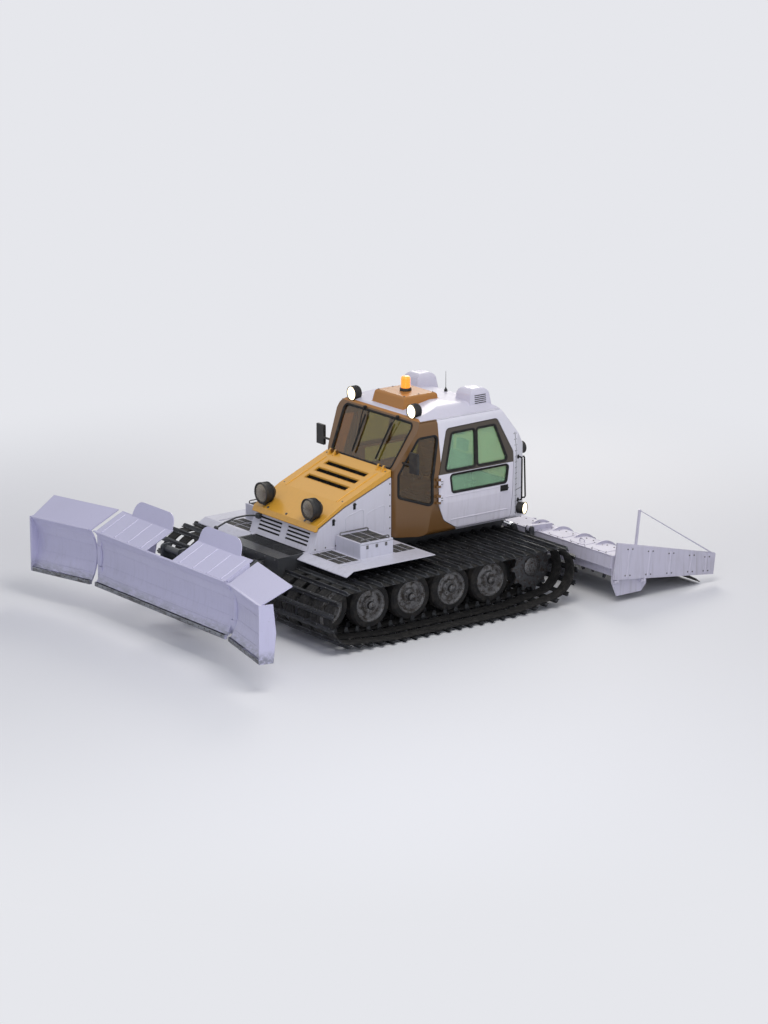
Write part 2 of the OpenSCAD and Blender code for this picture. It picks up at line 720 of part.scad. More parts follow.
module rear_lamps() {
  color("#f4f0e0")
  left_right()
  difference() {
    union() {
      translate([-cab_back - 30, 700, 2000]) rotate([0, -90, 0]) cylinder(r = 80, h = 80, $fn = 48);
      translate([-cab_back + 60, 700, 2000]) rotate([0, -90, 0]) cylinder(r = 25, h = 100, $fn = 48);
      translate([-2040, cab_half - 68, 1210])
      rotate([0, 0, side_lamp_turn])
      rotate([-90, 0, 0]) cylinder(r = 80, h = 95, $fn = 48);
    }
    cab_solid(-fit);
  }
}
module mirrors() {
  color("#1e1f22")
  left_right()
  difference() {
    union() {
      translate([-95, 1010, 2030]) cube([40, 170, 290]);
      translate([-80, 780, 2125]) cube([25, 240, 25]);
    }
    cab_solid(-fit);
  }
}

// Push frame that lifts the blade
module push_frame() {
  color("#303237")
  difference() {
    union() {
      left_right() {
        cross_rod(lift_x, lift_z, 52, arm_y - arm_w / 2, arm_w);
        across(arm_y - arm_w / 2, arm_w)
        polygon([[lift_x, lift_z - 50], [king_x - 190, lift_z - 60], [king_x - 190, lift_z + 90],
          [lift_x, lift_z + 50]]);
        for (s = [-1, 1])
          across(cyl_y + s * 55 - 12, 24)
          union() {
            translate(lift_b) circle(r = 45, $fn = 48);
            polygon([[lift_b[0] - 45, lift_b[1]], [lift_b[0] - 60, lift_z + 20], [lift_b[0] + 60, lift_z + 20],
              [lift_b[0] + 45, lift_b[1]]]);
          }
        cross_rod(lift_b[0], lift_b[1], pin_r, cyl_y - 75, 150);
      }
      translate([king_x - 330, -arm_y - arm_w / 2, lift_z - 60]) cube([140, 2 * arm_y + arm_w, 100]);
      translate([king_x - 191, -cyl_y - 70, lift_z - 60]) cube([60, 2 * cyl_y + 140, 100]);
      translate([king_x - 200, -120, lift_z - 60]) cube([200, 240, 45]);
      translate([king_x, 0, lift_z - 60]) cylinder(r = 120, h = 45, $fn = 64);
      translate([king_x - 200, -120, lift_z + 315]) cube([200, 240, 45]);
      translate([king_x, 0, lift_z + 315]) cylinder(r = 120, h = 45, $fn = 64);
      translate([king_x - 200, -120, lift_z - 60]) cube([70, 240, 420]);
      translate([king_x, 0, lift_z - 61]) cylinder(r = king_r, h = 440, $fn = 64);
    }
    left_right() cross_rod(lift_x, lift_z, pin_r + run, arm_y - arm_w, 2 * arm_w);
  }
}
// Head that turns on the king pin and carries the tilt trunnion
trunnion_r = 60;
trunnion_z = lift_z + 150;
head_front = king_x + 190;
module blade_head() {
  color("#3a3c41")
  difference() {
    union() {
      translate([king_x, 0, lift_z - 12]) cylinder(r = 100, h = 324, $fn = 64);
      translate([king_x, -90, lift_z + 40]) cube([150, 180, 220]);
      translate([king_x + 149, 0, trunnion_z]) rotate([0, 90, 0]) cylinder(r = trunnion_r, h = 170, $fn = 64);
    }
    translate([king_x, 0, lift_z - 100]) cylinder(r = king_r + run, h = 600, $fn = 64);
  }
}
// Blade: side profile of the hollow face, from the cutting edge up
board_r = board_h * board_h / (8 * board_dish) + board_dish / 2;
board_mid = blade_z + board_h / 2;
module board_profile() {
  difference() {
    intersection() {
      translate([blade_x + board_r - board_dish, board_mid]) circle(r = board_r + board_t, $fn = 160);
      translate([blade_x - 400, blade_z]) square([400, board_h]);
    }
    translate([blade_x + board_r - board_dish, board_mid]) circle(r = board_r, $fn = 160);
  }
}
guard_x = blade_x - 10;
guard_z = blade_z + board_h;
module guard_plate(y0, w) {
  across(y0, w)
  translate([guard_x, guard_z - 15])
  rotate(180 - guard_tilt)
  square([guard_len, 16]);
}
// Middle of the guard plate's thickness at x
function guard_mid(x) = guard_z - 15 - 8 / cos(guard_tilt) + (guard_x - x) * tan(guard_tilt);
guard_back_x = guard_x - guard_len * cos(guard_tilt);
ear_len = 235;
ear_w = 1000;
ear_lean = 18;
// Rounded shield beside the notch, which stands up from the guard's rear edge
module ear() {
  translate([guard_back_x + 14, 0, guard_mid(guard_back_x + 14)])
  rotate([0, -ear_lean, 0])
  along(-7, 14)
  polygon(rounded([[notch, -3], [notch + ear_w, -3], [notch + ear_w - 40, ear_len], [notch + 30, ear_len]],
    [0, 0, 180, 150]));
}
wing_pin = 22;
knuckle_r = 45;
wing_y = blade_w / 2 + 60;
wing_hinge_x = blade_x - board_dish;
notch = 320;
rib_ys = [12 - blade_w / 2, -1100, -600, 600, 1100, blade_w / 2 - 12];
module blade_board() {
  color("#e8eaf2")
  difference() {
    union() {
      across(-blade_w / 2, blade_w) board_profile();
      translate([blade_x - 40, -blade_w / 2, blade_z - 20]) cube([40, blade_w, 60]);
      guard_plate(notch, blade_w / 2 - notch - 20);
      guard_plate(20 - blade_w / 2, blade_w / 2 - notch - 20);
      left_right() ear();
      left_right() {
        for (z = [board_mid - 350, board_mid + 153]) {
          translate([wing_hinge_x, wing_y, z]) cylinder(r = knuckle_r, h = 197, $fn = 48);
          translate([wing_hinge_x - knuckle_r, blade_w / 2 - 25, z]) cube([2 * knuckle_r, wing_y - blade_w / 2 + 26, 197]);
        }
        translate([wing_hinge_x, wing_y, board_mid - 340]) cylinder(r = wing_pin, h = 680, $fn = 48);
      }
      for (y = rib_ys)
        across(y - 12, 24)
        difference() {
          polygon([[blade_x - 60, blade_z + 20], [blade_x - 60, guard_mid(blade_x - 60)],
            [guard_back_x + 60, guard_mid(guard_back_x + 60)], [guard_back_x + 60, guard_mid(guard_back_x + 60) - 60],
            [blade_x - 330, board_mid + 100], [blade_x - 300, board_mid - 150]]);
          translate([blade_x + board_r - board_dish, board_mid]) circle(r = board_r + 1, $fn = 160);
        }
      translate([head_front + 20, -300, trunnion_z - 160])
      cube([blade_x - board_dish - head_front - 30, 600, 320]);
    }
    translate([head_front, 0, trunnion_z]) rotate([0, 90, 0]) cylinder(r = trunnion_r + run, h = 140, $fn = 64);
  }
}
// Frame on the board's back behind the notch: cheek plates, cross tube and the cylinder that leans to it
gear_z = trunnion_z + 160 + fit;
gear_x = blade_x - board_dish - board_t - 20;
gear_y = 190;
tube_z = guard_z + 20;
module blade_gear() {
  color("#2c2d31")
  union() {
    for (s = [-1, 1])
      across(s * gear_y - 12, 24)
      polygon(rounded([[gear_x - 290, gear_z], [gear_x, gear_z], [gear_x - 10, tube_z + 70], [gear_x - 150, tube_z + 70]],
        [0, 0, 40, 40]));
    translate([gear_x - 280, -gear_y, gear_z]) cube([270, 2 * gear_y, 24]);
    cross_rod(gear_x - 80, tube_z, 48, -gear_y - 60, 2 * gear_y + 120);
    for (y = [-80, 80]) {
      translate([gear_x - 190, y, gear_z + 10]) cylinder(r = 42, h = tube_z - gear_z - 130, $fn = 48);
      across(y - 18, 36)
      polygon([[gear_x - 215, tube_z - 125], [gear_x - 165, tube_z - 125], [gear_x - 60, tube_z - 30],
        [gear_x - 110, tube_z + 5]]);
    }
  }
}
wing_start = wing_y + 76;
module wing() {
  difference() {
    union() {
      translate([wing_hinge_x, wing_y, 0])
      rotate(-wing_rest)
      translate([-wing_hinge_x, -wing_y, 0])
      union() {
        across(wing_start, wing_len) board_profile();
        translate([blade_x - 40, wing_start, blade_z - 20]) cube([40, wing_len, 60]);
        guard_plate(wing_y - 200, wing_len + 270);
        across(wing_start + wing_len - 1, 20)
        polygon([[blade_x, blade_z - 20], [blade_x, guard_z], [blade_x - 200, guard_z],
          [blade_x - 240, board_mid], [blade_x - 200, blade_z - 20]]);
        translate([wing_hinge_x - knuckle_r + 2, wing_y, board_mid - 140]) cube([knuckle_r - 4, 180, 280]);
      }
      translate([wing_hinge_x, wing_y, board_mid - 150]) cylinder(r = knuckle_r, h = 300, $fn = 48);
    }
    translate([wing_hinge_x, wing_y, board_mid - 500]) cylinder(r = wing_pin + run, h = 1000, $fn = 48);
    translate([blade_x - 700, wing_y - 300, guard_z - 100]) cube([800, 332, 600]);
  }
}
module wing_left() {
  color("#e8eaf2") wing();
}
module wing_right() {
  color("#e8eaf2") mirror([0, 1, 0]) wing();
}

// Cylinders: a barrel and rod from one pin to another, both given as x, z
barrel_share = 0.58;
bore_start = 58;
rod_share = 0.45;
eye_r = 52;
eye_slack = 10;
module barrel(a, b, y, r) {
  ang = atan2(b[1] - a[1], b[0] - a[0]);
  l = norm(b - a);
  translate([a[0], y, a[1]])
  rotate([0, -ang, 0])
  difference() {
    union() {
      rotate([90, 0, 0]) translate([0, 0, -30]) cylinder(r = 42, h = 60, $fn = 48);
      translate([30, 0, 0]) rotate([0, 90, 0]) cylinder(r = r, h = l * barrel_share - 30, $fn = 48);
    }
    rotate([90, 0, 0]) translate([0, 0, -50]) cylinder(r = pin_r + run, h = 100, $fn = 48);
    translate([bore_start, 0, 0]) rotate([0, 90, 0]) cylinder(r = r * 0.5 + run, h = l, $fn = 48);
  }
}
module rod(a, b, y, r) {
  ang = atan2(b[1] - a[1], b[0] - a[0]);
  l = norm(b - a);
  translate([a[0], y, a[1]])
  rotate([0, -ang, 0])
  difference() {
    union() {
      translate([l, 0, 0]) rotate([90, 0, 0]) translate([0, 0, -30]) cylinder(r = eye_r, h = 60, $fn = 48);
      translate([l * rod_share, 0, 0]) rotate([0, 90, 0]) cylinder(r = r * 0.5, h = l * (1 - rod_share) - 45, $fn = 48);
    }
    translate([l, 0, 0]) rotate([90, 0, 0]) translate([0, 0, -50]) cylinder(r = pin_r + eye_slack, h = 100, $fn = 48);
  }
}
lift_a = [cyl_x, cyl_z];
lift_b = [king_x - 160, lift_z + 150];
module lift_barrels() {
  color("#b9bcc4") left_right() barrel(lift_a, lift_b, cyl_y, 40);
}
module lift_rods() {
  color("#d0d2d8") left_right() rod(lift_a, lift_b, cyl_y, 40);
}

// Tiller
cutter_x = -cutter_back;
frame_x = -2560;
tiller_a = [rear_x, tiller_cyl_z];
tiller_b = [frame_x + 40, rear_z + 145];
module tiller_barrels() {
  color("#b9bcc4") left_right() barrel(tiller_a, tiller_b, cyl_y, 38);
}
module tiller_rods() {
  color("#d0d2d8") left_right() rod(tiller_a, tiller_b, cyl_y, 38);
}
pitch_x = frame_x + 40;
pitch_y = 650;
pitch_z = rear_z + 190;
module tiller_frame() {
  color("#303237")
  difference() {
    union() {
      left_right() {
        cross_rod(rear_x, rear_z, 48, arm_y - 35, 70);
        across(arm_y - 35, 70)
        polygon([[rear_x, rear_z + 45], [rear_x, rear_z - 45], [frame_x, rear_z - 60], [frame_x, rear_z + 80]]);
        for (s = [-1, 1])
          across(cyl_y + s * 55 - 12, 24)
          union() {
            translate(tiller_b) circle(r = 42, $fn = 48);
            polygon([[tiller_b[0] - 40, tiller_b[1]], [tiller_b[0] - 80, rear_z + 40], [tiller_b[0] + 30, rear_z + 40],
              [tiller_b[0] + 40, tiller_b[1]]]);
          }
        cross_rod(tiller_b[0], tiller_b[1], pin_r, cyl_y - 75, 150);
      }
      translate([frame_x, -900, rear_z - 60]) cube([120, 1800, 140]);
      left_right()
      for (s = [-1, 1])
        across(pitch_y + s * 42 - 12, 24)
        union() {
          translate([pitch_x, pitch_z]) circle(r = 40, $fn = 48);
          translate([pitch_x - 40, rear_z + 60]) square([80, pitch_z - rear_z - 60]);
        }
      left_right() cross_rod(pitch_x, pitch_z, pin_r, pitch_y - 60, 120);
    }
    left_right() cross_rod(rear_x, rear_z, pin_r + run, arm_y - 70, 140);
  }
}
house_r = tooth_r + 60;
house_top = cutter_z + house_r + 20;
module tiller_housing() {
  color("#b8b4d0")
  union() {
    across(-tiller_w / 2, tiller_w)
    difference() {
      union() {
        translate([cutter_x, cutter_z]) circle(r = house_r + 20, $fn = 96);
        polygon([[cutter_x, house_top], [frame_x - 60, house_top],
          [frame_x - 30, cutter_z + 100], [cutter_x, cutter_z]]);
      }
      translate([cutter_x, cutter_z]) circle(r = house_r, $fn = 96);
      translate([cutter_x - 500, cutter_z - 600]) square([1000, 560]);
    }
    left_right() {
      across(tiller_w / 2 - 1, 21)
      difference() {
        polygon([[frame_x - 60, house_top], [cutter_x - 300, house_top], [cutter_x - 300, 200],
          [cutter_x - 200, 100], [cutter_x + 250, 100], [frame_x - 60, 300]]);
        translate([cutter_x, cutter_z]) circle(r = 50 + run, $fn = 48);
      }
      for (y = house_rib_ys)
        across(y - 8, 16)
        difference() {
          intersection() {
            translate([cutter_x, cutter_z]) circle(r = house_r + 55, $fn = 96);
            translate([cutter_x - 250, cutter_z + 150]) square([frame_x - cutter_x + 170, 300]);
          }
          translate([cutter_x, cutter_z]) circle(r = house_r + 5, $fn = 96);
        }
      across(pitch_y - 25, 50)
      difference() {
        union() {
          translate([pitch_x, pitch_z]) circle(r = 45, $fn = 48);
          polygon([[pitch_x, pitch_z + 45], [pitch_x, pitch_z - 45], [frame_x - 55, pitch_z - 60],
            [frame_x - 120, house_top - 10], [cutter_x + 40, house_top - 10], [cutter_x + 40, pitch_z + 20]]);
        }
        translate([pitch_x, pitch_z]) circle(r = pin_r + run, $fn = 48);
      }
      for (y = mat_lug_ys)
        across(y - 15, 30)
        difference() {
          union() {
            translate([mat_x, mat_z]) circle(r = 40, $fn = 48);
            polygon([[mat_x, mat_z + 40], [mat_x, mat_z - 40], [cutter_x - house_r + 10, mat_z - 60],
              [cutter_x - house_r + 60, mat_z + 60]]);
          }
          translate([mat_x, mat_z]) circle(r = mat_rod + run, $fn = 48);
          translate([cutter_x, cutter_z]) circle(r = house_r + 1, $fn = 96);
        }
      for (x = side_hinge_xs)
        side_axis(x)
        rotate([0, 90, 0])
        difference() {
          union() {
            cylinder(r = 26, h = 40, $fn = 48);
            translate([-26, tiller_w / 2 + 5 - side_y, 0]) cube([52, side_y - tiller_w / 2 - 5, 40]);
          }
          translate([0, 0, -1]) cylinder(r = side_pin + run, h = 42, $fn = 48);
        }
    }
  }
}
mat_lug_ys = [200, 1150, tiller_w / 2 - 130];
house_rib_ys = [for (i = [0:4]) 330 + i * (tiller_w / 2 - 430) / 4];
mat_rod = 22;
// Hinge line of a side finisher: it falls toward the rear
side_pin = 14;
side_y = tiller_w / 2 + 60;
side_x = -2600;
side_z = 330;
side_fall = 7;
side_hinge_xs = [60, 560];
module side_axis(d) {
  translate([side_x, side_y, side_z])
  rotate([0, -side_fall, 0])
  translate([-d, 0, 0])
  children();
}
module cutter() {
  color("#4b4d54")
  translate([cutter_x, 0, cutter_z])
  union() {
    rotate([90, 0, 0]) translate([0, 0, -tiller_w / 2 + 10]) cylinder(r = drum_r, h = tiller_w - 20, $fn = 48);
    rotate([90, 0, 0]) translate([0, 0, -tiller_w / 2 - 25]) cylinder(r = 50, h = tiller_w + 50, $fn = 48);
    for (s = [-1, 1], i = [0:tooth_rows - 1])
      translate([0, s * (120 + i * (tiller_w / 2 - 200) / tooth_rows), 0])
      rotate([0, s * i * 40, 0])
      translate([0, -12, 0])
      for (a = [0, 180])
        rotate([0, a, 0])
        across(0, 24)
        polygon([[-38, drum_r - 15], [38, drum_r - 15], [26, tooth_r], [-10, tooth_r]]);
  }
}
mat_x = cutter_x - house_r - 75;
mat_z = 560;
mat_t = 14;
mat_w = tiller_w - 40;
mat_slope = asin((mat_z - mat_t - 12) / mat_len);
module finisher_mat() {
  color("#2b2c30")
  difference() {
    union() {
      translate([mat_x, -mat_w / 2, mat_z])
      rotate([0, -mat_slope, 0])
      translate([-mat_len, 0, -mat_t / 2]) cube([mat_len, mat_w, mat_t]);
      translate([mat_x, mat_w / 2, mat_z]) rotate([90, 0, 0]) cylinder(r = mat_rod, h = mat_w, $fn = 48);
    }
    left_right()
    for (y = mat_lug_ys)
      across(y - 20, 40)
      difference() {
        translate([mat_x - 50, mat_z - 60]) square([100, 120]);
        translate([mat_x, mat_z]) circle(r = mat_rod, $fn = 48);
      }
  }
}
module side_finisher() {
  color("#cfcbe4")
  side_axis(0)
  difference() {
    union() {
      across(-15, 30)
      polygon([[0, 34], [0, side_h], [-side_len, side_h * 0.6], [-side_len, 34]]);
      translate([-370, -15, side_h - 90]) cube([30, 30, 560]);
      across(-12, 24)
      polygon([[-368, side_h + 466], [-348, side_h + 466], [60 - side_len, side_h * 0.6],
        [20 - side_len, side_h * 0.6]]);
      for (d = side_hinge_xs)
        translate([-d - 42, 0, 0])
        rotate([0, 90, 0]) cylinder(r = 26, h = 40, $fn = 48);
      for (d = side_hinge_xs) translate([-d - 42, -15, 0]) cube([40, 30, 40]);
      for (d = side_hinge_xs)
        translate([-d - 41, 0, 0])
        rotate([0, 90, 0]) cylinder(r = side_pin, h = 80, $fn = 48);
    }
  }
}
module side_finisher_left() {
  side_finisher();
}
module side_finisher_right() {
  mirror([0, 1, 0]) side_finisher();
}

wing_tip_x = wing_hinge_x + (blade_x - wing_hinge_x) * cos(wing_rest)
  + (wing_start - wing_y + wing_len + 19) * sin(wing_rest);
tail_x = side_x - side_len * cos(side_fall) - side_h * 0.6 * sin(side_fall);
mid_x = (wing_tip_x + tail_x) / 2;
module place() {
  translate([-mid_x, 0, 0]) children();
}

place() tub();
place() engine();
place() track_left();
place() track_right();
place() wheels_left();
place() wheels_right();
place() sprockets();
place() axles();
place() fenders();
place() front_beam();
place() rear_beam();
place() cab_shell();
place() cab_roof();
place() cab_glass();
place() seats();
place() dash();
place() hood_sides();
place() headlamps();
place() roof_lamps();
place() beacon();
place() rear_lamps();
place() mirrors();
place() hood();
place() door_left();
place() door_right();
place() door_glass_left();
place() door_glass_right();
place() push_frame();
place() lift_barrels();
place() lift_rods();
place() blade_head();
place() blade_board();
place() blade_gear();
place() wing_left();
place() wing_right();
place() tiller_frame();
place() tiller_barrels();
place() tiller_rods();
place() tiller_housing();
place() cutter();
place() finisher_mat();
place() side_finisher_left();
place() side_finisher_right();
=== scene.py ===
import bpy
import bmesh
from math import acos, asin, atan2, ceil, cos, floor, hypot, pi, radians, sin, sqrt, tan
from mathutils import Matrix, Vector
from mathutils.bvhtree import BVHTree


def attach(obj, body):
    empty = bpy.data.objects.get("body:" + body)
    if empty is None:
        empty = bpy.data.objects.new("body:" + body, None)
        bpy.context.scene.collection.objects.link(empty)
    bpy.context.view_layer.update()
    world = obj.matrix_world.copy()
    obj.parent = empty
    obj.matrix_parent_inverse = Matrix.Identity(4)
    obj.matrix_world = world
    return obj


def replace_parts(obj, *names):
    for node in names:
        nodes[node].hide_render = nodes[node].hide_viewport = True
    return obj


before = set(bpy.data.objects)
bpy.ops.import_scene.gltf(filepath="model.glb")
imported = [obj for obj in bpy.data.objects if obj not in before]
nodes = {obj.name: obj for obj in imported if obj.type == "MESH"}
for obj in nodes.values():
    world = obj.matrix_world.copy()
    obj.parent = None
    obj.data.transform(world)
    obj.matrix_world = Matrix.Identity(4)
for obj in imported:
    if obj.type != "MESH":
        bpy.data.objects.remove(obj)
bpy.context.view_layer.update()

# Tub and cross beams
# The welded plate tub between the tracks, with a beam at each end for blade or tiller, in dull dark paint.
# Bolted on are its end bolts, pin caps, fluid block, tow pin and the deck grating over its front.
MACHINE_MIDDLE = 377.4436


def at(x, y, z):
    """A place in machine millimetres, forward, left and up from the tracks' middle, in the shared frame."""
    return Vector(((x + MACHINE_MIDDLE) / 1000, y / 1000, z / 1000))


def tint(code):
    """A paint chip's sRGB code as linear light."""
    parts = [int(code[i:i + 2], 16) / 255 for i in (1, 3, 5)]
    return tuple(p / 12.92 if p <= 0.04045 else ((p + 0.055) / 1.055) ** 2.4 for p in parts) + (1.0,)


class Reading:
    """A value on a surface, such as a grime share, that can stand in a Python sum."""

    def __init__(self, finish, socket):
        self.finish, self.socket = finish, socket

    def sum(self, operation, *terms):
        return self.finish.node("ShaderNodeMath", {"operation": operation}, dict(enumerate(terms)))

    def __add__(self, other):
        return self.sum("ADD", self, other)

    def __sub__(self, other):
        return self.sum("SUBTRACT", self, other)

    def __rsub__(self, other):
        return self.sum("SUBTRACT", other, self)

    def __mul__(self, other):
        return self.sum("MULTIPLY", self, other)

    def __pow__(self, other):
        return self.sum("POWER", self, other)

    def __gt__(self, other):
        return self.sum("GREATER_THAN", self, other)

    def __lt__(self, other):
        return self.sum("LESS_THAN", self, other)

    def __abs__(self):
        return self.sum("ABSOLUTE", self)

    def least(self, other):
        return self.sum("MINIMUM", self, other)

    def most(self, other):
        return self.sum("MAXIMUM", self, other)

    def sine(self):
        return self.sum("SINE", self)

    def ramp(self, low, high, start=0.0, end=1.0):
        """Start below low, end above high, and smooth between them."""
        return self.finish.node("ShaderNodeMapRange", {"interpolation_type": "SMOOTHSTEP"},
                                {0: self, 1: low, 2: high, 3: start, 4: end})

    __radd__ = __add__
    __rmul__ = __mul__


class Finish:
    """One finish of the machine: a shader with its flat numbers set; its patterns are added after."""

    def __init__(self, name, **flat):
        self.material = bpy.data.materials.new(name)
        self.material.use_nodes = True
        self.tree = self.material.node_tree
        self.shader = self.tree.nodes["Principled BSDF"]
        for socket, value in flat.items():
            self.shader.inputs[socket.replace("_", " ")].default_value = value
        self.where = self.node("ShaderNodeTexCoord", out=3)
        axes = self.tree.nodes.new("ShaderNodeSeparateXYZ")
        self.tree.links.new(self.where.socket, axes.inputs[0])
        self.x, self.y, self.z = (Reading(self, axes.outputs[i]) for i in range(3))

    def node(self, kind, settings=None, inputs=None, out=0):
        made = self.tree.nodes.new(kind)
        for key, value in (settings or {}).items():
            setattr(made, key, value)
        for key, value in (inputs or {}).items():
            self.join(value, made.inputs[key])
        return Reading(self, made.outputs[out])

    def join(self, value, socket):
        if isinstance(value, Reading):
            self.tree.links.new(value.socket, socket)
        else:
            socket.default_value = value

    def set(self, **fed):
        for socket, value in fed.items():
            self.join(value, self.shader.inputs[socket.replace("_", " ")])
        return self

    def mottled(self, share, first, second, rough):
        """Two paint chips mixed by a share, and a roughness."""
        return self.set(Base_Color=self.mix(share, tint(first), tint(second)), Roughness=rough)

    def stretched(self, across, along, up):
        """The place on the machine, drawn out along any of its three ways."""
        return self.node("ShaderNodeMapping", {}, {0: self.where, 3: (across, along, up)})

    def noise(self, size, detail, rough=0.55, place=None):
        """Cloudy pattern from 0 to 1 whose blots are about size metres across."""
        return self.node("ShaderNodeTexNoise", {}, {"Vector": place or self.where, "Scale": 1 / size,
                                                   "Detail": detail, "Roughness": rough})

    def cells(self, size):
        """Small raised cells about size metres across."""
        return self.node("ShaderNodeTexVoronoi", {}, {"Vector": self.where, "Scale": 1 / size})

    def mix(self, share, a, b):
        return self.node("ShaderNodeMix", {"data_type": "RGBA"}, {0: share, 6: a, 7: b}, out=2)

    def shade(self, colour, amount):
        """The colour scaled by a value."""
        plain = colour if isinstance(colour, Reading) else colour[:3]
        return self.node("ShaderNodeVectorMath", {"operation": "SCALE"}, {0: plain, 3: amount})

    def relief(self, height, depth, strength, soften=0.0):
        """A bump whose height runs from 0 to 1 over depth metres, on edges softened by a radius."""
        inputs = {"Strength": strength, "Distance": depth, "Height": height}
        if soften:
            inputs["Normal"] = self.node("ShaderNodeBevel", {"samples": 4}, {0: soften})
        return self.set(Normal=self.node("ShaderNodeBump", {}, inputs))


def painted(name, paint, grime, under, gloss, dust, low, high, chips=0.66):
    """Sprayed paint over steel: colour drift, run-down streaks, grime that thickens low down, and chips."""
    f = Finish(name, Coat_Roughness=0.12)
    drift = f.noise(0.9, 4)
    streaks = f.noise(0.05, 5, 0.6, f.stretched(1, 1, 0.08))
    specks = f.noise(0.022, 6, 0.7)
    low_down = f.z.ramp(low, high, 1.0, 0.12)
    dirt = (streaks.ramp(0.45, 0.8) * 0.55 + drift.ramp(0.42, 0.75) * 0.6) * low_down * dust
    chipped = specks.ramp(chips, chips + 0.03) * drift.ramp(0.35, 0.6)
    base = f.shade(tint(paint), 0.94 + drift * 0.12)
    colour = f.mix(dirt, base, tint(grime))
    colour = f.mix(chipped * 0.7, colour, tint(under))
    f.colour, f.rough = colour, gloss + dirt * 0.45 + specks * 0.1 + chipped * 0.2
    f.set(Base_Color=f.colour, Roughness=f.rough, Coat_Weight=0.35 - dirt * 0.3)
    f.relief(f.noise(0.004, 2) * 0.25 + drift * 3 - chipped * 0.6, 0.0006, 0.6, 0.006)
    return f


def second_colour(paint, area, code, low, gain):
    """Lays a second colour over part of a painted surface, whether a second paint or painted lamp glow and
    shade.
    """
    paint.set(Base_Color=paint.mix(area, paint.colour, paint.shade(tint(code), low + paint.rough * gain)))


def wear(finish, *worn):
    """Gives CAD nodes their finish."""
    for node in worn:
        nodes[node].data.materials.clear()
        nodes[node].data.materials.append(finish.material)


chassis_paint = painted("chassis_paint", "#2e3034", "#5d5850", "#4a4a4c", gloss=0.5, dust=0.5, low=0.3,
                        high=1.2)
wear(chassis_paint, "tub", "front_beam", "rear_beam")


def turns(n, start=0):
    """n angles evenly round a circle, from a share of a step on."""
    return [2 * pi * (k + start) / n for k in range(n)]


def hoop(middle, side, over, r, n):
    """n places round a circle in the plane of two ways."""
    return [tuple(middle + (side * cos(a) + over * sin(a)) * r) for a in turns(n)]


def placed(name, data):
    """A new object in the scene."""
    made = bpy.data.objects.new(name, data)
    bpy.context.scene.collection.objects.link(made)
    return made


def courses(path, closed):
    """Each place of a path, with the way the path runs there."""
    pts = [Vector(p) for p in path]
    for i, p in enumerate(pts):
        ahead = pts[(i + 1) % len(pts)] if closed or i < len(pts) - 1 else p
        behind = pts[i - 1] if closed or i > 0 else p
        yield p, (ahead - behind).normalized()


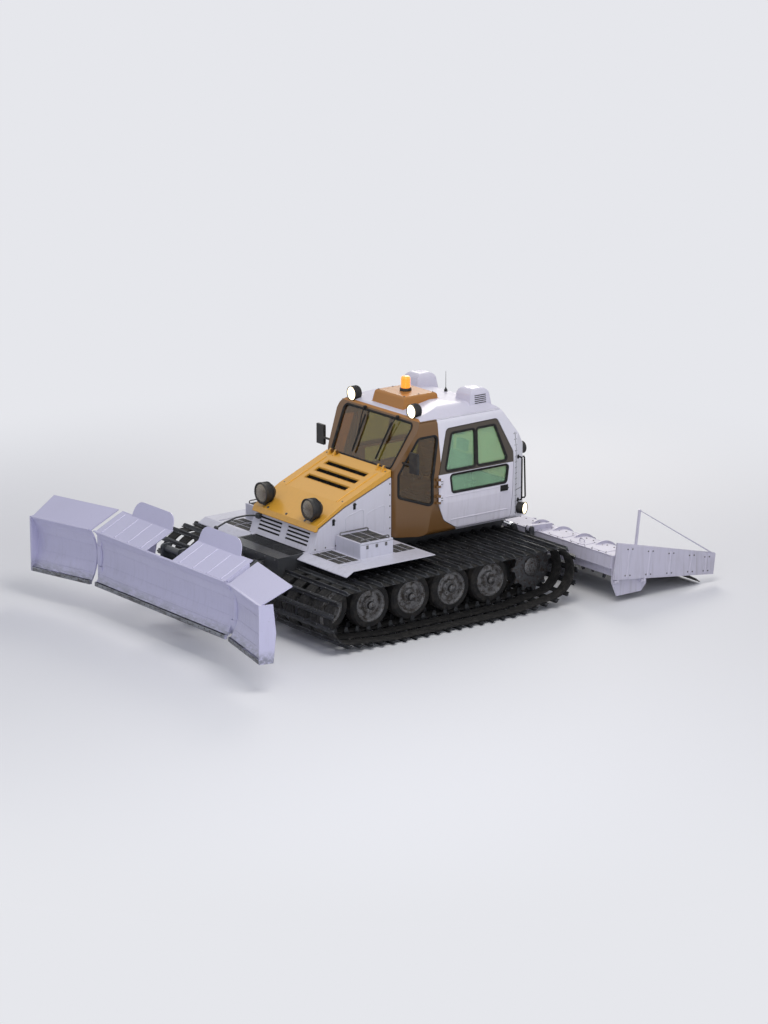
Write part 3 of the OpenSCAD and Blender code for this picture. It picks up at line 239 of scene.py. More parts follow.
class Shape:
    """Points and faces of one piece, in machine millimetres."""

    def __init__(self):
        self.points, self.faces = [], []

    def add(self, points, faces):
        first = len(self.points)
        self.points += [tuple(p) for p in points]
        self.faces += [tuple(first + i for i in f) for f in faces]

    def loft(self, rings, closed=False):
        """Skins rings of equally many points, one after the other, and caps the two ends of an open run."""
        n, m = len(rings[0]), len(rings)
        points = [p for r in rings for p in r]
        faces = []
        for i in range(m if closed else m - 1):
            a, b = i * n, (i + 1) % m * n
            faces += [(a + k, a + (k + 1) % n, b + (k + 1) % n, b + k) for k in range(n)]
        if not closed:
            faces += [tuple(reversed(range(n))), tuple(range((m - 1) * n, m * n))]
        self.add(points, faces)

    def block(self, low, high, edge):
        """A plate or block between two corners, with its edges broken."""
        (x0, y0, z0), (x1, y1, z1) = low, high
        e = min(edge, (x1 - x0) / 2.5, (y1 - y0) / 2.5, (z1 - z0) / 2.5)

        def ring(z, d):
            xa, xb, ya, yb = x0 + d, x1 - d, y0 + d, y1 - d
            return [(xa + e, ya, z), (xb - e, ya, z), (xb, ya + e, z), (xb, yb - e, z),
                    (xb - e, yb, z), (xa + e, yb, z), (xa, yb - e, z), (xa, ya + e, z)]
        self.loft([ring(z0, e * 0.7), ring(z0 + e, 0), ring(z1 - e, 0), ring(z1, e * 0.7)])

    def turned(self, start, end, outline, n=24, open_bore=False):
        """A turned part on the axis from start to end: outline lists (distance along, radius)."""
        a, b = Vector(start), Vector(end)
        way = (b - a).normalized()
        side = way.orthogonal().normalized()
        over = way.cross(side)
        self.loft([hoop(a + way * d, side, over, r, n) for d, r in outline], closed=open_bore)

    def bolt(self, place, way, r, h):
        """A hex head on a washer, standing on a face."""
        w = Vector(way).normalized()
        p = Vector(place)
        self.turned(p, p + w, [(-1, r * 1.5), (1.6, r * 1.5), (2.2, r * 1.35)], 12)
        self.turned(p, p + w, [(1, r), (h - 1.5, r), (h, r * 0.8)], 6)

    def pipe(self, path, r, n, closed=False):
        """A tube bent along a path of points."""
        rings, side = [], None
        for p, way in courses(path, closed):
            side = (way.orthogonal() if side is None else side - way * side.dot(way)).normalized()
            rings.append(hoop(p, side, way.cross(side), r, n))
        self.loft(rings, closed=closed)

    def prism(self, profile, y0, y1):
        """A side profile (x, z) given a width."""
        self.loft([[(x, y, z) for x, z in profile] for y in (y0, y1)])

    def trim(self, path, outs, section, closed=True, centre=None):
        """A strip that follows a path on a face: section lists (away from the centre, out of the face)."""
        rings = []
        for i, (p, way) in enumerate(courses(path, closed)):
            out = Vector(outs[i] if isinstance(outs, list) else outs)
            out = (out - way * out.dot(way)).normalized()
            side = out.cross(way)
            if centre is not None and (p - Vector(centre)).dot(side) < 0:
                side = -side
            rings.append([tuple(p + side * u + out * v) for u, v in section])
        self.loft(rings, closed=closed)

    def moved(self, place):
        """Puts each point where a rule says."""
        self.points = [tuple(place(*p)) for p in self.points]
        return self

    def flipped(self):
        """The same piece for the machine's other side."""
        other = Shape()
        other.add([(x, -y, z) for x, y, z in self.points], self.faces)
        return other

    def mirrored(self):
        """Adds the same on the machine's other side."""
        other = self.flipped()
        self.add(other.points, other.faces)
        return self

    def piece(self, name, finish, slot, body="chassis", smooth=35.0):
        """Makes the piece's object, with its finish and the body it rides on; its slot is not used."""
        mesh = bpy.data.meshes.new(name)
        mesh.from_pydata([at(*p) for p in self.points], [], self.faces)
        mesh.validate()
        skin = bmesh.new()
        skin.from_mesh(mesh)
        bmesh.ops.recalc_face_normals(skin, faces=skin.faces)
        skin.to_mesh(mesh)
        skin.free()
        mesh.update()
        mesh.shade_smooth()
        mesh.set_sharp_from_angle(angle=radians(smooth))
        mesh.materials.append(finish.material)
        made = placed(name, mesh)
        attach(made, body)
        return made


def twins(stem, *parts):
    """Makes the pieces of a left body, and the same turned over for its right one."""
    for side in ("left", "right"):
        for shape, name, finish, slot in parts:
            body = f"{stem}_{side}"
            (shape if side == "left" else shape.flipped()).piece(f"{body}_{name}", finish, slot, body)


bolt_steel = Finish("bolt_steel", Metallic=1.0)
bolt_steel.mottled(bolt_steel.noise(0.02, 5).ramp(0.45, 0.65), "#77787b", "#574e46",
                   0.35 + bolt_steel.noise(0.01, 4) * 0.35)
TUB_FRONT, TUB_BACK, END_PLATE = 1900, -2010, 20
tub_bolts = Shape()
for y in (-560, -330, -120, 120, 330, 560):
    for z in (470, 1010):
        if abs(y) > 500 or z > 900:
            tub_bolts.bolt((TUB_FRONT + END_PLATE, y, z), (1, 0, 0), 11, 9)
            tub_bolts.bolt((TUB_BACK - END_PLATE, y, z + 20 if z < 900 else z), (-1, 0, 0), 11, 9)
tub_bolts.piece("tub_bolts", bolt_steel, "dark_steel")
black_rubber = Finish("black_rubber", Specular_IOR_Level=0.35)
rubber_dust = black_rubber.noise(0.08, 5)
black_rubber.mottled(rubber_dust.ramp(0.45, 0.8), "#151517", "#34322f", 0.66 + rubber_dust * 0.22)
black_rubber.relief(black_rubber.noise(0.003, 2), 0.0003, 0.6)
PINS = ((1985, 430, 520), (1990, 240, 900), (-2085, 430, 560), (-2085, 240, 920))
HALF_PIN = 75
pin_caps = Shape()
for x, y, z in PINS:
    for side in (-1, 1):
        end = y + side * HALF_PIN
        pin_caps.turned((x, end, z), (x, end + side, z),
                        [(-1, 44), (8, 44), (12, 40), (13, 16), (20, 14)], 24)
        pin_caps.bolt((x, end + side * 12, z), (0, side, 0), 11, 8)
pin_caps.mirrored().piece("pin_caps", bolt_steel, "steel")
fluid_block = Shape()
VALVE_FACE, VALVE_Z = TUB_FRONT + 72, 800
fluid_block.block((TUB_FRONT + END_PLATE, -150, 740), (VALVE_FACE, 150, 860), 5)
for y in range(-110, 111, 55):
    fluid_block.turned((VALVE_FACE, y, VALVE_Z), (VALVE_FACE + 1, y, VALVE_Z),
                       [(-2, 17), (6, 17), (7, 12), (20, 12), (22, 9)], 12)
    bend = ((16, 800), (28, 796), (32, 770), (26, 620), (-12, 560), (-52, 548))
    fluid_block.pipe([(VALVE_FACE + x, y, z) for x, z in bend], 8, 10)
fluid_block.piece("fluid_block", black_rubber, "black_plastic")
TOW_X, RING_Z, RING_R = TUB_BACK - 85, 842, 22
tow_pin = Shape()
tow_pin.turned((TOW_X, 0, 740), (TOW_X, 0, 830),
               [(0, 14), (4, 17), (60, 17), (61, 30), (68, 30), (72, 18), (86, 16), (90, 8)], 24)
tow_pin.pipe([(TOW_X + RING_R * cos(a), 3 * sin(2 * a), RING_Z + RING_R * sin(a)) for a in turns(16)], 3.5, 8,
             closed=True)
tow_pin.piece("tow_pin", bolt_steel, "steel")
deck_bars = Shape()
DECK_Z, DECK_BACK, DECK_FRONT, DECK_HALF = 1036, 1442, 1888, 598
for x in range(DECK_BACK, DECK_FRONT, 31):
    deck_bars.block((x, -DECK_HALF, DECK_Z), (x + 9, DECK_HALF, DECK_Z + 7), 2)
for y in (-DECK_HALF, -300, 0, 300, DECK_HALF - 14):
    deck_bars.block((DECK_BACK - 4, y, DECK_Z - 12), (DECK_FRONT, y + 14, DECK_Z + 1), 2)
deck_bars.piece("deck_grating", chassis_paint, "dark_steel")

# Engine and radiator
# The diesel block, its head cover and the radiator behind the grille, low in the tub under the hood.
# Cast iron and pressed steel in dark enamel, filmed with oil and dust.
cast_iron = Finish("engine_enamel", Specular_IOR_Level=0.4)
oil = cast_iron.noise(0.12, 5, 0.65)
cast_iron.mottled(oil.ramp(0.4, 0.7), "#50545a", "#2b2724", 0.62 - oil.ramp(0.5, 0.75) * 0.3)
cast_iron.relief(cast_iron.noise(0.006, 3) + oil * 2, 0.0015, 0.7, 0.008)
wear(cast_iron, "engine")
ENGINE_BACK = 190
engine_ribs = Shape()
for x in range(ENGINE_BACK + 60, ENGINE_BACK + 821, 95):
    for y in (-276, 269):
        engine_ribs.block((x, y, 520), (x + 34, y + 7, 1040), 3)
for x in range(ENGINE_BACK + 130, ENGINE_BACK + 756, 125):
    engine_ribs.turned((x, 0, 1286), (x, 0, 1320), [(0, 34), (18, 34), (24, 28), (26, 10)], 20)
engine_ribs.piece("engine_ribs", cast_iron, "cast")
radiator_core = Shape()
for z in range(575, 1151, 23):
    radiator_core.block((1260.5, -415, z), (1268, 415, z + 9), 1.5)
radiator_core.piece("radiator_fins", cast_iron, "cast")

# Axles and swing arms
# Forged arms and stub axles between the tub and the wheels, in the same chassis paint.
# Their hub nuts show through the wheels.
wear(chassis_paint, "axles")

# Road wheels and idlers
# Solid rubber tyres on pressed steel discs, dished toward the hub, one disc for each tyre.
# The rubber is grey with melt water and dust; the discs are pale paint with rubbed rims.
WHEELS = [(970, 409), (270, 409), (-430, 409), (-1130, 409), (1700, 490)]
HALF_TYRE, TRACK_Y = 90, 1395
tyre_and_disc = Finish("tyre_and_disc")
nearest = None
for x, z in WHEELS:
    dx = tyre_and_disc.x - (x + MACHINE_MIDDLE) / 1000
    dz = tyre_and_disc.z - z / 1000
    off_hub = (dx * dx + dz * dz) ** 0.5
    nearest = off_hub if nearest is None else nearest.least(off_hub)
is_rubber = nearest.ramp(0.226, 0.231)
wheel_grime = tyre_and_disc.noise(0.08, 6, 0.65)
rubber_tone = tyre_and_disc.mix(wheel_grime.ramp(0.4, 0.7), tint("#1c1c1e"), tint("#3d3a37"))
disc_tone = tyre_and_disc.mix(wheel_grime.ramp(0.42, 0.62), tint("#8b8a8b"), tint("#4b4641"))
tyre_and_disc.set(Base_Color=tyre_and_disc.mix(is_rubber, disc_tone, rubber_tone),
                  Roughness=0.42 + is_rubber * 0.34 + wheel_grime * 0.14)
tread = ((nearest * 900).sine() * 0.5 + 0.5) * is_rubber * nearest.ramp(0.29, 0.3, 1.0, 0.0)
tyre_and_disc.relief(tread + wheel_grime * 0.8, 0.002, 0.8, 0.004)
wear(tyre_and_disc, "wheels_left", "wheels_right")
hub_bolts = Shape()
for x, z in WHEELS:
    for a in turns(8):
        for face in (-1, 1):
            hub_bolts.bolt((x + 88 * cos(a), TRACK_Y + face * 70, z + 88 * sin(a)), (0, face, 0), 9, 10)
    hub_bolts.turned((x, TRACK_Y + 100, z), (x, TRACK_Y + 160, z),
                     [(0, 62), (12, 62), (26, 54), (30, 44), (31, 20), (34, 16)], 28)
hub_bolts.mirrored().piece("wheel_hub_caps", bolt_steel, "steel")


def struck(node, start, way):
    """Where a straight line from a place first meets a CAD node."""
    if node not in struck.trees:
        solid = nodes[node]
        struck.trees[node] = BVHTree.FromPolygons([solid.matrix_world @ v.co for v in solid.data.vertices],
                                                  [tuple(p.vertices) for p in solid.data.polygons])
    spot = struck.trees[node].ray_cast(at(*start), Vector(way))[0]
    return Vector((spot.x * 1000 - MACHINE_MIDDLE, spot.y * 1000, spot.z * 1000)) if spot else None


struck.trees = {}
disc_ribs = Shape()
for x, z in WHEELS:
    for a in turns(8, 0.5):
        path = []
        for r in range(112, 212, 14):
            spot = struck("wheels_left", (x + r * cos(a), TRACK_Y + 400, z + r * sin(a)), (0, -1, 0))
            if spot and spot.y > TRACK_Y:
                path.append(spot)
        if len(path) > 2:
            disc_ribs.pipe(path, 7, 8)
disc_ribs.mirrored().piece("disc_ribs", tyre_and_disc, "tyre")
rims = Shape()
for x, z in WHEELS:
    for face in (-1, 1):
        rims.turned((x, TRACK_Y, z), (x, TRACK_Y + face, z),
                    [(HALF_TYRE - 12, 222), (HALF_TYRE + 1, 222), (HALF_TYRE + 5, 227), (HALF_TYRE + 5, 233),
                     (HALF_TYRE + 1, 238), (HALF_TYRE - 12, 238)], 48, open_bore=True)
rims.mirrored().piece("wheel_rims", bolt_steel, "steel")

# Sprockets
# Cast toothed rings on a drum at the rear of each track, driven from inside the tub.
# Bare iron, polished bright where the tooth flanks meet the bars.
sprocket_iron = Finish("sprocket_iron", Metallic=0.85)
rust = sprocket_iron.noise(0.05, 6, 0.7)
sprocket_iron.mottled(rust.ramp(0.45, 0.68), "#5f6165", "#4a3a2f", 0.38 + rust * 0.35)
sprocket_iron.relief(rust + sprocket_iron.noise(0.005, 2) * 0.4, 0.0015, 0.7, 0.005)
wear(sprocket_iron, "sprockets")
SPROCKET_X, SPROCKET_Z, DRUM_FACE = -1815, 510, TRACK_Y + 165
sprocket_bolts = Shape()
for a in turns(12):
    sprocket_bolts.bolt((SPROCKET_X + 250 * cos(a), DRUM_FACE, SPROCKET_Z + 250 * sin(a)), (0, 1, 0), 11, 10)
sprocket_bolts.turned((SPROCKET_X, DRUM_FACE, SPROCKET_Z), (SPROCKET_X, DRUM_FACE + 1, SPROCKET_Z),
                      [(-2, 140), (14, 140), (22, 128), (24, 70), (34, 64), (36, 30)], 36)
sprocket_bolts.mirrored().piece("sprocket_bolts", bolt_steel, "steel")

# Tracks
# Five rubber belts side by side carry a cross bar every 190 mm or so, bolted through plates inside the belts.
# The rubber is black and scuffed; the bars are rolled steel with a sharp crown that the ground keeps bright.
BELT_T, BELT_W, BELT_STEP, BAR_PITCH, TRACK_W = 24, 190, 290, 190, 1450
LOOP = [(SPROCKET_X, SPROCKET_Z, 345), (-1130, 409, 330), (970, 409, 330), (1700, 490, 345)]


def outward(a, b):
    """Angle at which the belt between two wheels faces out."""
    return atan2(b[1] - a[1], b[0] - a[0]) - acos((a[2] - b[2]) / hypot(b[0] - a[0], b[1] - a[1]))


facing = [outward(LOOP[i], LOOP[(i + 1) % 4]) for i in range(4)]


def track_path(off):
    """The belt's line as pieces (length, place at a distance along), moved out by off."""
    made = []
    for i, (x, z, r) in enumerate(LOOP):
        a0 = facing[i - 1]
        turn = (facing[i] - a0) % (2 * pi)
        made.append((turn * (r + off), lambda s, x=x, z=z, r=r + off, a0=a0:
                     (x + r * cos(a0 + s / r), z + r * sin(a0 + s / r), a0 + s / r)))
        nx, nz, nr = LOOP[(i + 1) % 4]
        a = facing[i]
        x0, z0 = x + (r + off) * cos(a), z + (r + off) * sin(a)
        x1, z1 = nx + (nr + off) * cos(a), nz + (nr + off) * sin(a)
        long = hypot(x1 - x0, z1 - z0)
        made.append((long, lambda s, x0=x0, z0=z0, a=a: (x0 - s * sin(a), z0 + s * cos(a), a)))
    return made


def along_track(path, s):
    for long, place in path:
        if s <= long:
            return place(s)
        s -= long
    return path[-1][1](path[-1][0])


belt_rubber = Finish("belt_rubber", Specular_IOR_Level=0.35)
scuff = belt_rubber.noise(0.06, 6, 0.7)
belt_rubber.mottled(scuff.ramp(0.4, 0.75), "#161617", "#3a3836", 0.72 + scuff * 0.2)
cloth = (belt_rubber.y * 2400).sine() * 0.5 + 0.5
belt_rubber.relief(cloth * 0.5 + scuff, 0.0012, 0.8)
outer = track_path(BELT_T)
around = sum(p[0] for p in outer)
bar_count = floor(around / BAR_PITCH)
belts = Shape()
steps = []
for long, place in track_path(0):
    pieces = max(1, ceil(long / (38 if long < 1300 else 160)))
    steps += [place(long * k / pieces) for k in range(pieces)]
for k in range(-2, 3):
    mid = TRACK_Y + k * BELT_STEP
    half = BELT_W / 2
    crest, dip = BELT_T - 0.4, BELT_T - 4
    section = [(-half, 3), (-half + 4, 0.4), (half - 4, 0.4), (half, 3), (half, dip), (half - 5, crest),
               (half - 34, crest), (half - 38, dip), (half - 46, dip), (half - 50, crest),
               (-half + 50, crest), (-half + 46, dip), (-half + 38, dip),
               (-half + 34, crest), (-half + 5, crest), (-half, dip)]
    rings = [[(x + d * cos(a), mid + y, z + d * sin(a)) for y, d in section] for x, z, a in steps]
    belts.loft(rings, closed=True)
belts.mirrored()
belts_made = belts.piece("track_belts", belt_rubber, "rubber")

bar_steel = Finish("bar_steel", Metallic=0.9)
scrape = bar_steel.noise(0.03, 6, 0.7, bar_steel.stretched(1, 0.12, 1))
bar_steel.mottled(scrape.ramp(0.35, 0.7), "#4c4e52", "#2b2a2a", 0.34 + scrape * 0.4)
bar_steel.relief(scrape, 0.001, 0.6, 0.004)
PROFILE = [(-38, 0.3), (38, 0.3), (36, 7), (30, 13), (17, 18), (12, 28), (9.5, 50), (7, 54.6), (-7, 54.6),
           (-9.5, 50), (-12, 28), (-17, 18), (-30, 13), (-36, 7)]
bars, bar_bolts, guides = Shape(), Shape(), Shape()
for i in range(bar_count):
    x, z, a = along_track(outer, i * around / bar_count)
    out, fore = Vector((cos(a), 0, sin(a))), Vector((-sin(a), 0, cos(a)))
    root = Vector((x, TRACK_Y, z))
    ends = []
    for y, lean in ((-TRACK_W / 2, 0.55), (-TRACK_W / 2 + 26, 0.92), (-TRACK_W / 2 + 60, 1.0),
                    (TRACK_W / 2 - 60, 1.0), (TRACK_W / 2 - 26, 0.92), (TRACK_W / 2, 0.55)):
        ends.append([tuple(root + Vector((0, y, 0)) + fore * u + out * (v * lean if v > 14 else v))
                     for u, v in PROFILE])
    bars.loft(ends)
    for k in range(-2, 3):
        for s in (-1, 1):
            seat = root + Vector((0, k * BELT_STEP + s * 55, 0)) + fore * 24 * s + out * 13
            bar_bolts.bolt(seat, out, 8, 8)
    inner = root - out * (BELT_T + 0.2)
    for s in (-1, 1):
        foot = inner + Vector((0, s * 115, 0))
        rings = []
        for y, lift, long in ((-14, 24.4, 36), (-14, -4, 44), (-4, -5, 40), (2, -34, 30),
                              (3.5, -62, 22), (8, -66, 20), (10, -62, 22), (10, 24.4, 36)):
            rings.append([tuple(foot + Vector((0, -s * y, 0)) + out * lift + fore * f)
                          for f in (-long, long)])
        n = len(rings)
        guides.add([r[0] for r in rings] + [r[1] for r in rings],
                   [(k, k + 1, n + k + 1, n + k) for k in range(n - 1)] + [(n - 1, 0, n, 2 * n - 1)]
                   + [tuple(reversed(range(n))), tuple(range(n, 2 * n))])
bars.mirrored()
bar_bolts.mirrored()
guides.mirrored()
bars.piece("track_bars", bar_steel, "rubber")
bar_bolts.piece("track_bolts", bolt_steel, "steel")
guides.piece("tyre_guides", bar_steel, "steel")
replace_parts(belts_made, "track_left", "track_right")

# Fenders and steps
# Pressed sheet over the tracks beside the hood, with a tool box on each that serves as a step.
# Lavender-white enamel, scuffed by boots, with gritted treads, latches, box rails and rolled edges on it.
fender_paint = painted("fender_paint", "#cdcddb", "#6b665e", "#7d7f83", gloss=0.36, dust=0.5, low=0.7,
                       high=1.5)
wear(fender_paint, "fenders")
step_grip = Finish("step_grip")
step_grip.mottled(step_grip.noise(0.05, 5).ramp(0.4, 0.7), "#2a2b2d", "#55524d", 0.86)
step_grip.relief(step_grip.cells(0.005), 0.002, 1.0)
grips = Shape()
for x0, x1, y0, y1, z in ((530, 1030, 840, 1340, 1269), (1090, 1440, 700, 1390, 1050),
                          (110, 470, 1040, 1390, 1050)):
    for k in range(3):
        a = x0 + (x1 - x0) * k / 3
        grips.block((a + 8, y0 + 10, z - 0.5), (a + (x1 - x0) / 3 - 8, y1 - 10, z + 3), 1.5)
grips.mirrored().piece("step_grips", step_grip, "black_plastic")
latches = Shape()
for x in (620, 780, 940):
    latches.block((x - 20, 1370, 1180), (x + 20, 1376, 1230), 3)
    latches.turned((x, 1374, 1205), (x, 1382, 1205), [(0, 12), (5, 12), (8, 9)], 16)
latches.block((504, 1369.5, 1242), (1056, 1372, 1246), 1)
latches.mirrored().piece("toolbox_latches", bolt_steel, "steel")
fender_edges = Shape()
FENDER_OUT, FENDER_BACK, ROLL_TOP, LIP_X, LIP_END = 1775, 84, 1044, 1480, 1598
fender_edges.pipe([(FENDER_BACK, FENDER_OUT, ROLL_TOP), (LIP_X, FENDER_OUT, ROLL_TOP),
                   (LIP_END - 2, FENDER_OUT, 978)], 7, 10)
fender_edges.pipe([(LIP_END, 645, 980), (LIP_END, FENDER_OUT - 2, 980)], 7, 10)
fender_edges.pipe([(FENDER_BACK, 1045, ROLL_TOP), (FENDER_BACK, FENDER_OUT - 2, ROLL_TOP)], 7, 10)
for y in (760, 1120, 1480):
    fender_edges.pipe([(1110, y, 1052), (1110, y, 1054), (1440, y, 1054), (1440, y, 1052)], 4, 8)
fender_edges.mirrored().piece("fender_edges", fender_paint, "white_paint")
box_rails = Shape()
for y in (850, 1330):
    box_rails.pipe([(540, y, 1268), (540, y, 1296), (552, y, 1308), (1008, y, 1308), (1020, y, 1296),
                    (1020, y, 1268)], 9, 12)
box_rails.mirrored().piece("box_rails", bolt_steel, "steel")

# Cab shell and roof
# Moulded and riveted panels over a steel frame, in lavender-white enamel; the bronze on its front is painted
# lamp glow and shade, that on the roof plinth painted lamp glow.
# Seams, drip rails, grab rails, vent slats, tail lamp shells and an aerial are fixed to it.
cab_paint = painted("cab_paint", "#dedde8", "#77726b", "#8a8a8e", gloss=0.28, dust=0.38, low=0.9, high=2.0,
                    chips=0.7)
roof_paint = painted("roof_paint", "#cfcddd", "#8a857d", "#9a9a9e", gloss=0.46, dust=0.2, low=2.4, high=3.0,
                     chips=0.72)
# The bronze sprayed over the cab's front, reaching further back low down, is painted warm lamp glow and
# shade.
painted_shade_below_pane = (1.48 - cab_paint.z).most(0) * 0.72
painted_glow_and_shade_front = (cab_paint.x + painted_shade_below_pane).ramp(-0.235, -0.23)
second_colour(cab_paint, painted_glow_and_shade_front, "#6c4a20", 0.85, 0.3)
# The bronze over the roof plinth and the roof's front edge is painted warm glow from the beacon and work
# lamps.
plinth_lamp_glow = ((abs(roof_paint.y) < 0.373) * (roof_paint.x > -0.7045) * (roof_paint.x < -0.051)).most(
    roof_paint.x.ramp(0.035, 0.04))
second_colour(roof_paint, plinth_lamp_glow, "#a8702c", 0.85, 0.3)
wear(cab_paint, "cab_shell")
wear(roof_paint, "cab_roof")


def rounded(corners, radii, steps=6):
    """An outline with its corners rounded, as points in order."""
    made = []
    for i, corner in enumerate(corners):
        c, r = Vector(corner), radii[i]
        back = (Vector(corners[i - 1]) - c).normalized()
        ahead = (Vector(corners[(i + 1) % len(corners)]) - c).normalized()
        half = acos(max(-1.0, min(1.0, back.dot(ahead)))) / 2
        if r <= 0 or half > 1.56:
            made.append(tuple(c))
            continue
        middle = c + (back + ahead).normalized() * (r / sin(half))
        start, end = c + back * (r / tan(half)), c + ahead * (r / tan(half))
        for k in range(steps + 1):
            made.append(tuple(middle + (start.lerp(end, k / steps) - middle).normalized() * r))
    return made


def dense(outline, step=70):
    """The same outline with points added along its straights."""
    made = []
    for i, (a, b) in enumerate(outline):
        c, d = outline[(i + 1) % len(outline)]
        n = max(1, round(hypot(c - a, d - b) / step))
        made += [(a + (c - a) * k / n, b + (d - b) * k / n) for k in range(n)]
    return made


def reach(outline, value, axis, way=1):
    """How far out, one way, an outline lies where it crosses a value on the other axis."""
    found = []
    for i, p in enumerate(outline):
        q = outline[i - 1]
        if min(p[axis], q[axis]) <= value <= max(p[axis], q[axis]) and p[axis] != q[axis]:
            t = (value - q[axis]) / (p[axis] - q[axis])
            found.append(way * (q[1 - axis] + (p[1 - axis] - q[1 - axis]) * t))
    return way * max(found) if found else 0.0


CAB_Z, CAB_FRONT, CAB_BACK, CAB_HALF, SCREEN_Z, ROOF_Z = 1062, 60, 2210, 1040, 1990, 2840
CAB_SIDE = rounded([(-CAB_BACK, CAB_Z), (CAB_FRONT, CAB_Z), (CAB_FRONT, SCREEN_Z), (-330, ROOF_Z - 110),
                    (-900, ROOF_Z), (-1560, ROOF_Z - 40), (-CAB_BACK + 480, ROOF_Z - 130),
                    (-CAB_BACK + 20, 2080)],
                   [60, 40, 30, 110, 300, 300, 120, 200])
CAB_FACE = rounded([(-CAB_HALF + 30, CAB_Z), (CAB_HALF - 30, CAB_Z), (CAB_HALF, 1500), (CAB_HALF - 10, 1950),
                    (CAB_HALF - 110, 2660), (CAB_HALF - 330, ROOF_Z - 20), (0, ROOF_Z + 25),
                    (330 - CAB_HALF, ROOF_Z - 20), (110 - CAB_HALF, 2660), (10 - CAB_HALF, 1950),
                    (-CAB_HALF, 1500)],
                   [80, 80, 0, 300, 90, 260, 600, 260, 90, 300, 0])
CAB_PLAN = rounded([(CAB_FRONT, -780), (CAB_FRONT, 780), (-430, CAB_HALF), (-1900, CAB_HALF),
                    (-CAB_BACK, CAB_HALF - 150), (-CAB_BACK, 150 - CAB_HALF),
                    (-1900, -CAB_HALF), (-430, -CAB_HALF)],
                   [120, 120, 200, 200, 150, 150, 200, 200])


def on_side(x, z):
    """A place on the cab's left wall and the way out of it."""
    def wide(a, b):
        return min(reach(CAB_PLAN, a, 0), reach(CAB_FACE, b, 1))
    out = Vector((wide(x - 5, z) - wide(x + 5, z), 10, wide(x, z - 5) - wide(x, z + 5)))
    return Vector((x, wide(x, z), z)), out.normalized()


def on_front(y, z):
    """A place on the cab's front and the way out of it."""
    def ahead(a, b):
        return min(reach(CAB_PLAN, a, 1), reach(CAB_SIDE, b, 1))
    out = Vector((10, ahead(y - 5, z) - ahead(y + 5, z), ahead(y, z - 5) - ahead(y, z + 5)))
    return Vector((ahead(y, z), y, z)), out.normalized()


def on_rear(y, z):
    """A place on the cab's back and the way out of it."""
    def behind(a, b):
        return max(reach(CAB_PLAN, a, 1, -1), reach(CAB_SIDE, b, 1, -1))
    out = Vector((-10, behind(y + 5, z) - behind(y - 5, z), behind(y, z + 5) - behind(y, z - 5)))
    return Vector((behind(y, z), y, z)), out.normalized()


def strip(shape, spots, section, closed=False):
    """A strip along places on the cab's wall; a closed one's section runs outward from the middle."""
    middle = sum((p for p, out in spots), Vector()) / len(spots) if closed else None
    shape.trim([p for p, out in spots], [out for p, out in spots], section, closed, middle)


GUTTER = [(-9, -4), (9, -4), (9, 4), (5, 16), (1, 16), (2, 5), (-9, 5)]
drip_rails = Shape()
strip(drip_rails, [on_side(-1735 + k * 59, 2680) for k in range(25)], GUTTER)
strip(drip_rails, [on_rear(-60 + k * 60, 2662) for k in range(14)], GUTTER)
drip_rails.mirrored().piece("drip_rails", cab_paint, "white_paint")
SEAM = [(-3, -1), (3, -1), (3, 1.6), (-3, 1.6)]
RIVET = [(-1, 7), (0.8, 7), (2.6, 5), (3.4, 2)]
seams, rivets = Shape(), Shape()
BACK_SEAM_X, LOW_SEAM_Z = -1962, 1490
strip(seams, [on_side(BACK_SEAM_X, z) for z in range(1130, 2360, 60)], SEAM)
strip(seams, [on_side(x, LOW_SEAM_Z) for x in range(-2190, BACK_SEAM_X + 1, 38)], SEAM)
strip(seams, [on_rear(y, LOW_SEAM_Z - 40) for y in range(0, 900, 60)], SEAM)
strip(seams, [on_front(y, 1960) for y in range(0, 760, 60)], SEAM)
for z in range(1160, 2340, 82):
    for x in (BACK_SEAM_X - 20, BACK_SEAM_X + 18):
        place, out = on_side(x, z)
        rivets.turned(place, place + out, RIVET, 8)
for y in range(30, 880, 84):
    for z in (LOW_SEAM_Z - 58, LOW_SEAM_Z - 22):
        place, out = on_rear(y, z)
        rivets.turned(place, place + out, RIVET, 8)
seams.mirrored().piece("cab_seams", black_rubber, "black_plastic")
rivets.mirrored().piece("cab_rivets", bolt_steel, "steel")
grab_rails = Shape()
RAIL_X, RAIL_OUT, RAIL_BEND = -2020, 62, Vector((0, 0, 26))
(a, out_a), (b, out_b) = on_side(RAIL_X, 1330), on_side(RAIL_X, 1960)
grab_rails.pipe([a, a + out_a * (RAIL_OUT - 24), a + out_a * (RAIL_OUT - 6) + RAIL_BEND / 3,
                 a + out_a * RAIL_OUT + RAIL_BEND, b + out_b * RAIL_OUT - RAIL_BEND,
                 b + out_b * (RAIL_OUT - 6) - RAIL_BEND / 3, b + out_b * (RAIL_OUT - 24), b], 12, 14)
for p, out in ((a, out_a), (b, out_b)):
    grab_rails.turned(p, p + out, [(-1, 30), (6, 30), (9, 26), (10, 13)], 20)
(a, out_a), (b, out_b) = on_rear(840, 1300), on_rear(840, 1900)
grab_rails.pipe([a, a + out_a * 50, a + out_a * 60 + Vector((0, 0, 20)), b + out_b * 60 - Vector((0, 0, 20)),
                 b + out_b * 50, b], 12, 14)
grab_rails.mirrored().piece("grab_rails", black_rubber, "black_plastic")
aerial = Shape()
aerial.turned((-1480, 0, 2800), (-1480, 0, 2801),
              [(0, 26), (32, 24), (40, 14), (60, 9), (64, 4), (180, 3.4), (300, 2.4), (303, 1)], 16)
aerial.piece("aerial", black_rubber, "black_plastic")
tail_shells = Shape()
tail_spot = on_rear(700, 1240)[0]
tail_shells.block((tail_spot.x - 22, 640, 1195), (tail_spot.x + 4, 840, 1275), 8)
tail_shells.mirrored().piece("tail_lamp_shells", black_rubber, "black_plastic")
vent_slats = Shape()
VENT_FOOT, VENT_TALL = 2700, 285
